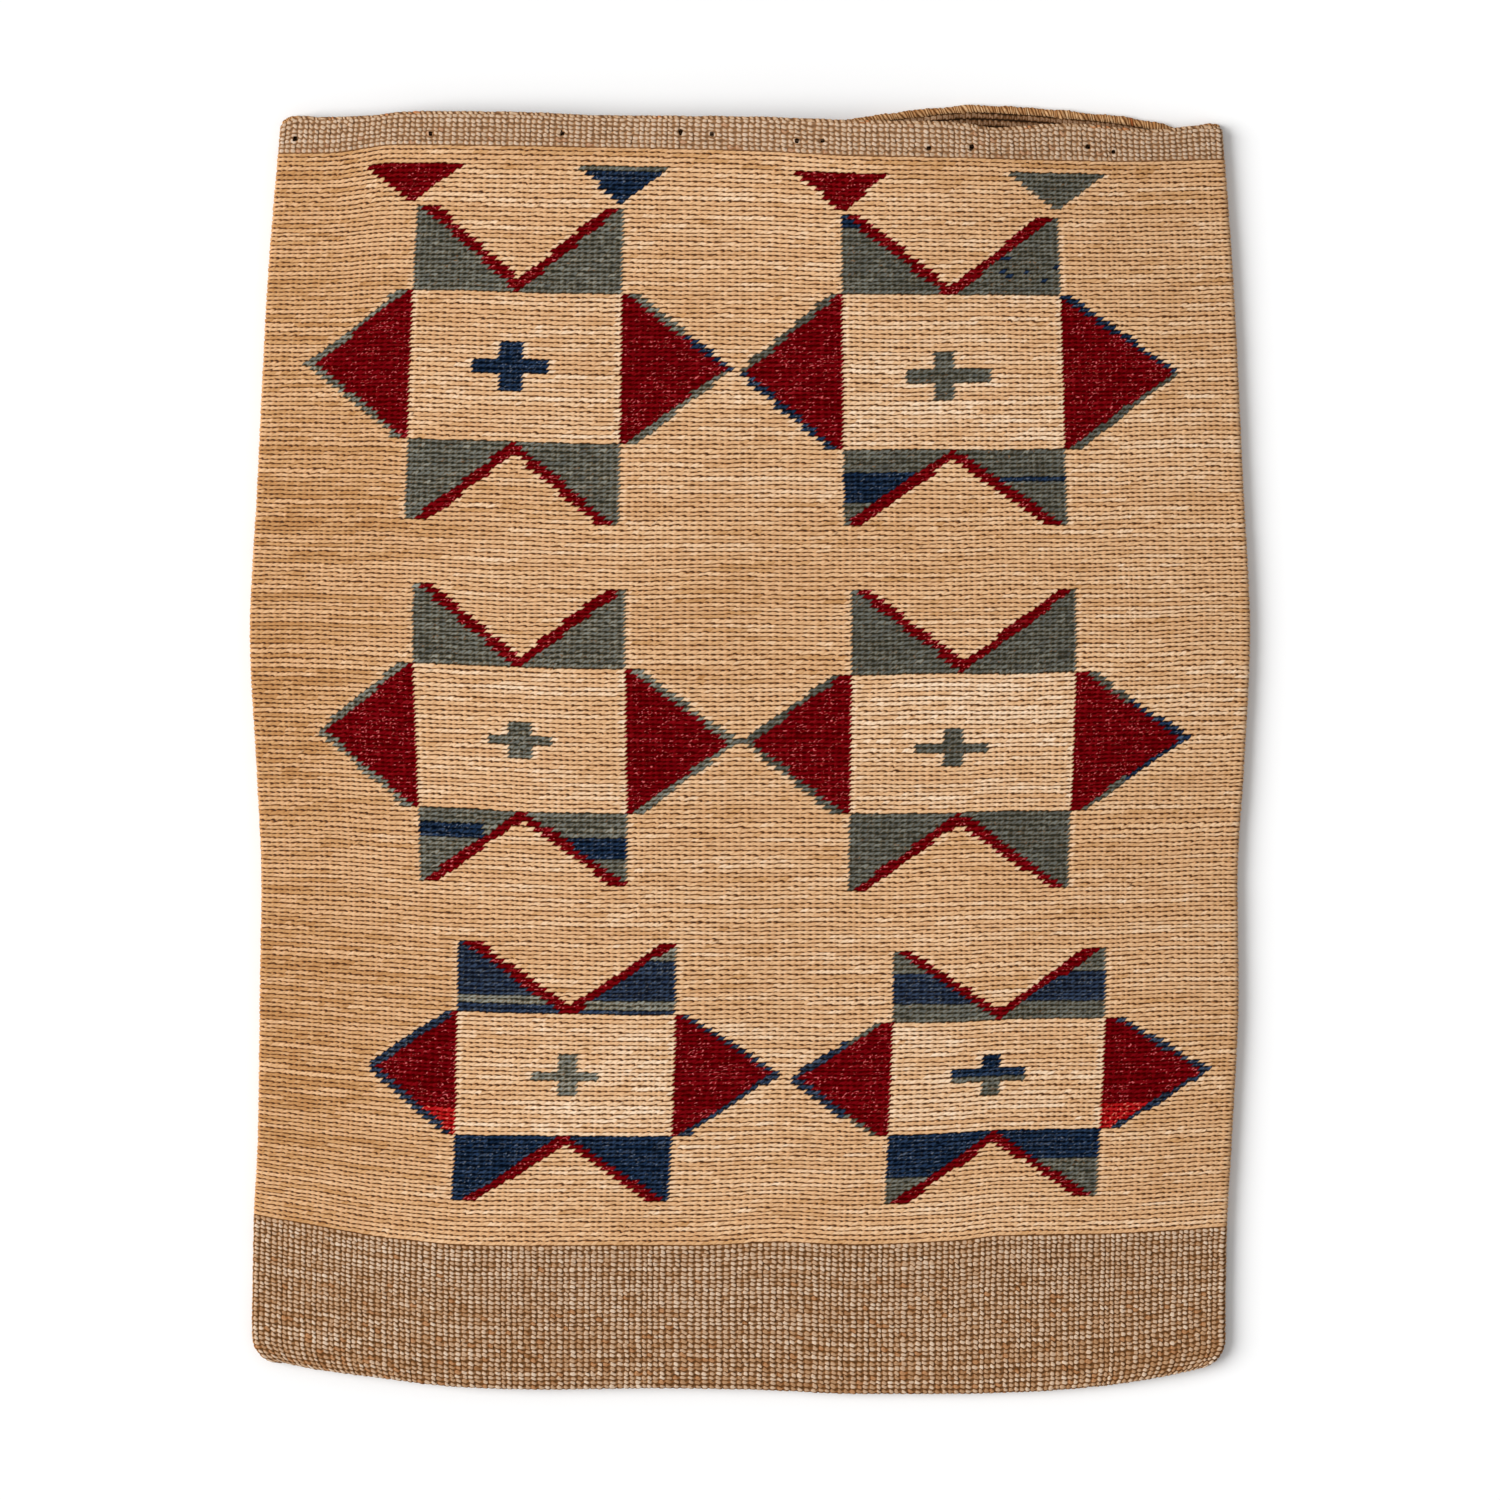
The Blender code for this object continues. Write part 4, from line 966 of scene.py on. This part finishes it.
band_hemp = fibre(
    "hemp_band", ((174, 145, 118), (187, 159, 132), (195, 169, 144), (202, 178, 156)),
    painted_shade=(120, 86, 58), crevice=0.15, gap=0.45, streak=0.14, roughness=0.9, least=0.3,
    deep=1.3, pit_place=0.0, slant=0.0, fleck=(182, 142, 112), fleck_share=0.04)
band_shape = (BAND_ROWS, STITCHES)
for face, first, kind in (("front", 0, HEMP_FRONT), ("back", STITCHES, HEMP_BACK)):
    cloth = twine(LAST_HUSK_ROW, LAST_ROW, first, kind, HEMP_RIDGE, HEMP_GROOVE, HEMP_UNLIKE)
    tone = hemp_tones(chance, *band_shape)
    fleck = hemp_flecks(chance, *band_shape)
    if face == "front":
        cloth["points"] = push_apart(cloth["points"])
        for side, word, half in half_masks(BAND_ROWS):
            piece = twined_piece(f"band_front_{word}", cloth, half, [band_hemp], tone, fleck,
                                 holes=hole_middles(), bare=BARE_RADIUS)
            hang_on_front(piece, side, "hemp", "top_band_front")
    else:
        whole = np.ones(band_shape, bool)
        piece = twined_piece("band_back", cloth, whole, [band_hemp], tone, fleck)
        fix_to_back(piece, "hemp", "top_band_back")


# The foundation shows on the inside of the pouch: dark hemp, which no facing
# covers, seen where the lips stand apart and through the lacing holes.
inside = fibre(
    "hemp_inside", ((96, 70, 50), (128, 98, 72), (156, 122, 94), (184, 150, 120)),
    painted_shade=(40, 24, 12), crevice=0.17, gap=0.7, streak=0.3, roughness=0.95)


def line_the_pouch(name, first, low_row, high_row, half):
    """The inner face of a wall, one face to a stitch, turned inwards."""
    rows = np.arange(low_row, high_row + 1)[:, None]
    stitches = first + np.arange(STITCHES + 1)[None, :]
    points = lay_fabric(stitches, rows, WALL)
    row, stitch = np.nonzero(half)
    corners = grid_faces(row, stitch, STITCHES + 1)
    weave = np.stack(np.broadcast_arrays(stitches, rows), axis=-1).reshape(-1, 2)[corners]
    flat = points.reshape(-1, 3)
    maps = {"weave": weave, "OFBake": flat_places(flat[corners.ravel()], first == 0)}
    tone = hemp_tones(np.random.default_rng(first + low_row), high_row - low_row, STITCHES)
    per_face = {"tone": tone[row, stitch]}
    return make_piece(name, flat, corners, maps, [inside], per_face)


lining = lay_fabric(np.arange(STITCHES)[None, :] + 0.5,
                    np.arange(BOTTOM_ROWS, LAST_ROW)[:, None] + 0.5, WALL)
for side, word, half in half_masks(LAST_ROW - BOTTOM_ROWS):
    open_half = half.copy()
    for hole in hole_middles():
        gap = np.hypot(lining[..., 0] - hole[0], lining[..., 1] - hole[1])
        open_half[np.unravel_index(gap.argmin(), gap.shape)] = False
    piece = line_the_pouch(f"lining_front_{word}", 0, BOTTOM_ROWS, LAST_ROW, open_half)
    hang_on_front(piece, side, "hemp", "hemp_front")
    piece = line_the_pouch(f"lining_back_{word}", STITCHES, BOTTOM_ROWS, LAST_ROW, half)
    fix_to_back(piece, "hemp", "hemp_back")
whole = np.ones((BOTTOM_ROWS, STITCHES), bool)
for face, first in (("front", 0), ("back", STITCHES)):
    piece = line_the_pouch(f"lining_bottom_{face}", first, 0, BOTTOM_ROWS, whole)
    fix_to_back(piece, "hemp", "bottom_band")


# The lips are overcast: a strand is whipped over the edge in a helix.  On the
# back lip it binds a thick golden roll, and on the front one it is hardly
# thicker than a row of the hemp.
RIM_CUTS = 10
RIM_SIDES = 16
RIM_TURN = 0.00032
ROLL_EXTRA = 0.0003
CLOSING_STITCHES = 1.5
TURN_UNEVENNESS, UNEVEN_STITCHES = 0.35, 2.3
LONG_LUMP_SHARE, LONG_LUMP_STITCHES = 0.15, 5
SHORT_LUMP_SHARE, SHORT_LUMPS_A_STITCH = 0.12, 1.3
MIDDLE_SWELL = 0.6
STRANDS = 997
LIP_TONE, LIP_STRAND_SPREAD, LIP_SPREAD = 0.5, 0.18, 0.10

back_rim = fibre(
    "overcast_gold", ((156, 108, 66), (190, 144, 98), (214, 172, 126), (230, 198, 158)),
    painted_shade=(100, 64, 36), crevice=0.16, gap=0.0, streak=0.34, roughness=0.8,
    fleck=(188, 104, 58), fleck_share=0.02)
front_rim = fibre(
    "overcast_hemp", ((150, 114, 82), (178, 144, 112), (196, 166, 136), (210, 184, 156)),
    painted_shade=(112, 78, 50), crevice=0.18, gap=0.0, streak=0.24, roughness=0.9,
    fleck=(184, 124, 82), fleck_share=0.06)


def overcast(name, material, first, last, rim_width, thick, turns, helix):
    """A roll along one lip, of overcast turns.

    An ellipse is carried along the lip and closes at the side folds.  It
    swells in every turn as the root of a half sine.  A turn moves along the
    lip as it goes round, as a helix does.  Slow waves make the turns
    unevenly wide and the roll lumpy, and each strand has a tone of its own.
    """
    stitch = np.linspace(first, last, (last - first) * RIM_CUTS + 1)[:, None]
    angle = np.linspace(0, 2 * np.pi, RIM_SIDES + 1)[None, :]
    edge = np.full_like(stitch, LAST_ROW)
    middle = lay_fabric(stitch, edge, WALL / 2)
    ahead = lay_fabric(stitch + 0.5, edge, WALL / 2) - lay_fabric(stitch - 0.5, edge, WALL / 2)
    ahead /= np.linalg.norm(ahead, axis=-1, keepdims=True)
    upward = np.array((0.0, 1.0, 0.0)) - ahead * ahead[..., 1:2]
    upward /= np.linalg.norm(upward, axis=-1, keepdims=True)
    outward = np.cross(ahead, upward)
    uneven = TURN_UNEVENNESS * slow_waves(stitch / UNEVEN_STITCHES, 0.0, 17)
    turn = turns * (stitch + uneven) + helix * angle / (2 * np.pi)
    swell = np.sqrt(np.abs(np.sin(np.pi * turn)))
    lump = 1 + LONG_LUMP_SHARE * slow_waves(stitch / LONG_LUMP_STITCHES, np.cos(angle) / 3, 11)
    lump = lump + SHORT_LUMP_SHARE * slow_waves(
        stitch * SHORT_LUMPS_A_STITCH, np.sin(angle), 13)
    from_fold = np.mod(stitch, STITCHES)
    from_fold = np.minimum(from_fold, STITCHES - from_fold)
    closing = np.sqrt(np.clip(from_fold / CLOSING_STITCHES, 0.02, 1))
    size = closing * (rim_width / 2 * lump + RIM_TURN / turns * (swell - MIDDLE_SWELL))
    flat = thick / (rim_width / 2)
    centre = middle + upward * (rim_width / 2 - RIM_SINK)
    points = centre + size[..., None] * (
        upward * np.sin(angle)[..., None] + outward * flat * np.cos(angle)[..., None])
    row, side = np.indices((len(stitch) - 1, RIM_SIDES)).reshape(2, -1)
    corners = grid_faces(row, side, RIM_SIDES + 1)
    weave = np.stack(np.broadcast_arrays(angle / (2 * np.pi), turn), axis=-1)
    weave = weave.reshape(-1, 2)[corners]
    bake = np.stack(np.broadcast_arrays(
        (stitch - first) / (last - first), angle / (2 * np.pi) * 0.1), axis=-1)
    bake = BAKE_MARGIN + (1 - 2 * BAKE_MARGIN) * bake.reshape(-1, 2)[corners]
    number = np.floor(turn[:-1, :-1] + 0.5 * helix / RIM_SIDES).astype(int) % STRANDS
    dice = np.random.default_rng(last)
    tone = (LIP_TONE + LIP_STRAND_SPREAD * dice.normal(size=STRANDS))[number].ravel()
    tone = (tone + LIP_SPREAD * dice.normal(size=tone.size)).clip(0, 1)
    fleck = dice.random(STRANDS)[number].ravel()
    return make_piece(name, points.reshape(-1, 3), corners, {"weave": weave, "OFBake": bake},
                      [material], {"tone": tone, "fleck": fleck})


for side, word, start, end in ((-1, "left", 0, MIDDLE_STITCH),
                               (1, "right", MIDDLE_STITCH, STITCHES)):
    piece = overcast(f"lip_front_{word}", front_rim, start, end, FRONT_RIM, WALL / 2, 1, 1)
    hang_on_front(piece, side, "overcast_edge", "rim_front")
    piece = overcast(f"lip_back_{word}", back_rim, 2 * STITCHES - end, 2 * STITCHES - start,
                     BACK_RIM, WALL / 2 + ROLL_EXTRA, 2, 4)
    fix_to_back(piece, "overcast_edge", "rim_back")


# The setting: a plain white floor, one soft lamp from the left of the
# picture with an even sky, and the camera straight above the bag.
FLOOR_SIZE = 12.0
FLOOR_DROP = 0.0006
FLOOR_SHADE = 0.75
FLOOR_SEEN = 0.885
CAMERA_HEIGHT = 3.0
CAMERA_PLACE = -0.0004
PICTURE_WIDTH = 0.64900
FACE_LEVEL = 0.0125
SENSOR_WIDTH = 36
SKY = 0.50
LAMP = 2.28
LAMP_SPREAD = 46
LAMP_ELEVATION = 36
LAMP_BEARING = 180


def seen_directly(tree):
    """1 for a ray from the camera, a mirror or glass, and 0 for light."""
    paths = add_node(tree, "ShaderNodeLightPath")
    direct = add_node(tree, "ShaderNodeMath", {
        0: paths.outputs["Is Camera Ray"], 1: paths.outputs["Is Glossy Ray"]},
        operation="MAXIMUM")
    return add_node(tree, "ShaderNodeMath", {
        0: direct.outputs[0], 1: paths.outputs["Is Transmission Ray"]},
        operation="MAXIMUM").outputs[0]


half_floor = FLOOR_SIZE / 2
floor_mesh = bpy.data.meshes.new("floor")
floor_mesh.from_pydata(
    [(-half_floor, -half_floor, -FLOOR_DROP), (half_floor, -half_floor, -FLOOR_DROP),
     (half_floor, half_floor, -FLOOR_DROP), (-half_floor, half_floor, -FLOOR_DROP)],
    [], [(0, 1, 2, 3)])
floor = bpy.data.objects.new("floor", floor_mesh)
bpy.context.scene.collection.objects.link(floor)
paper = bpy.data.materials.new("white_paper")
paper.use_nodes = True
paper_colour = add_node(paper.node_tree, "ShaderNodeMix", {
    "Factor": seen_directly(paper.node_tree), 6: (FLOOR_SHADE, FLOOR_SHADE, FLOOR_SHADE, 1.0),
    7: (FLOOR_SEEN, FLOOR_SEEN, FLOOR_SEEN, 1.0)}, data_type="RGBA")
paper_shader = paper.node_tree.nodes["Principled BSDF"]
paper.node_tree.links.new(paper_colour.outputs[2], paper_shader.inputs["Base Color"])
paper_shader.inputs["Roughness"].default_value = 1.0
paper_shader.inputs["Specular IOR Level"].default_value = 0.0
floor_mesh.materials.append(paper)

world = bpy.data.worlds.new("studio")
bpy.context.scene.world = world
world.use_nodes = True
sky_strength = add_node(world.node_tree, "ShaderNodeMapRange", {
    "Value": seen_directly(world.node_tree), "To Min": SKY, "To Max": 1.0})
sky_light = world.node_tree.nodes["Background"]
sky_light.inputs["Color"].default_value = (1.0, 1.0, 1.0, 1.0)
world.node_tree.links.new(sky_strength.outputs[0], sky_light.inputs["Strength"])

lamp_data = bpy.data.lights.new("soft_lamp", "SUN")
lamp_data.energy = LAMP * math.pi / 2
lamp_data.angle = math.radians(LAMP_SPREAD)
lamp = bpy.data.objects.new("soft_lamp", lamp_data)
bearing, elevation = math.radians(LAMP_BEARING), math.radians(LAMP_ELEVATION)
towards_lamp = Vector((math.cos(bearing) * math.cos(elevation),
                       math.sin(bearing) * math.cos(elevation), math.sin(elevation)))
lamp.rotation_euler = towards_lamp.to_track_quat("Z", "Y").to_euler()
lamp.location = towards_lamp * CAMERA_HEIGHT
bpy.context.scene.collection.objects.link(lamp)

camera_data = bpy.data.cameras.new("camera")
camera_data.sensor_width = SENSOR_WIDTH
camera_data.lens = SENSOR_WIDTH * CAMERA_HEIGHT / PICTURE_WIDTH
camera = bpy.data.objects.new("camera", camera_data)
camera.location = (0.0, CAMERA_PLACE, CAMERA_HEIGHT + FACE_LEVEL)
bpy.context.scene.collection.objects.link(camera)
bpy.context.scene.camera = camera
bpy.context.scene.view_settings.view_transform = "Standard"
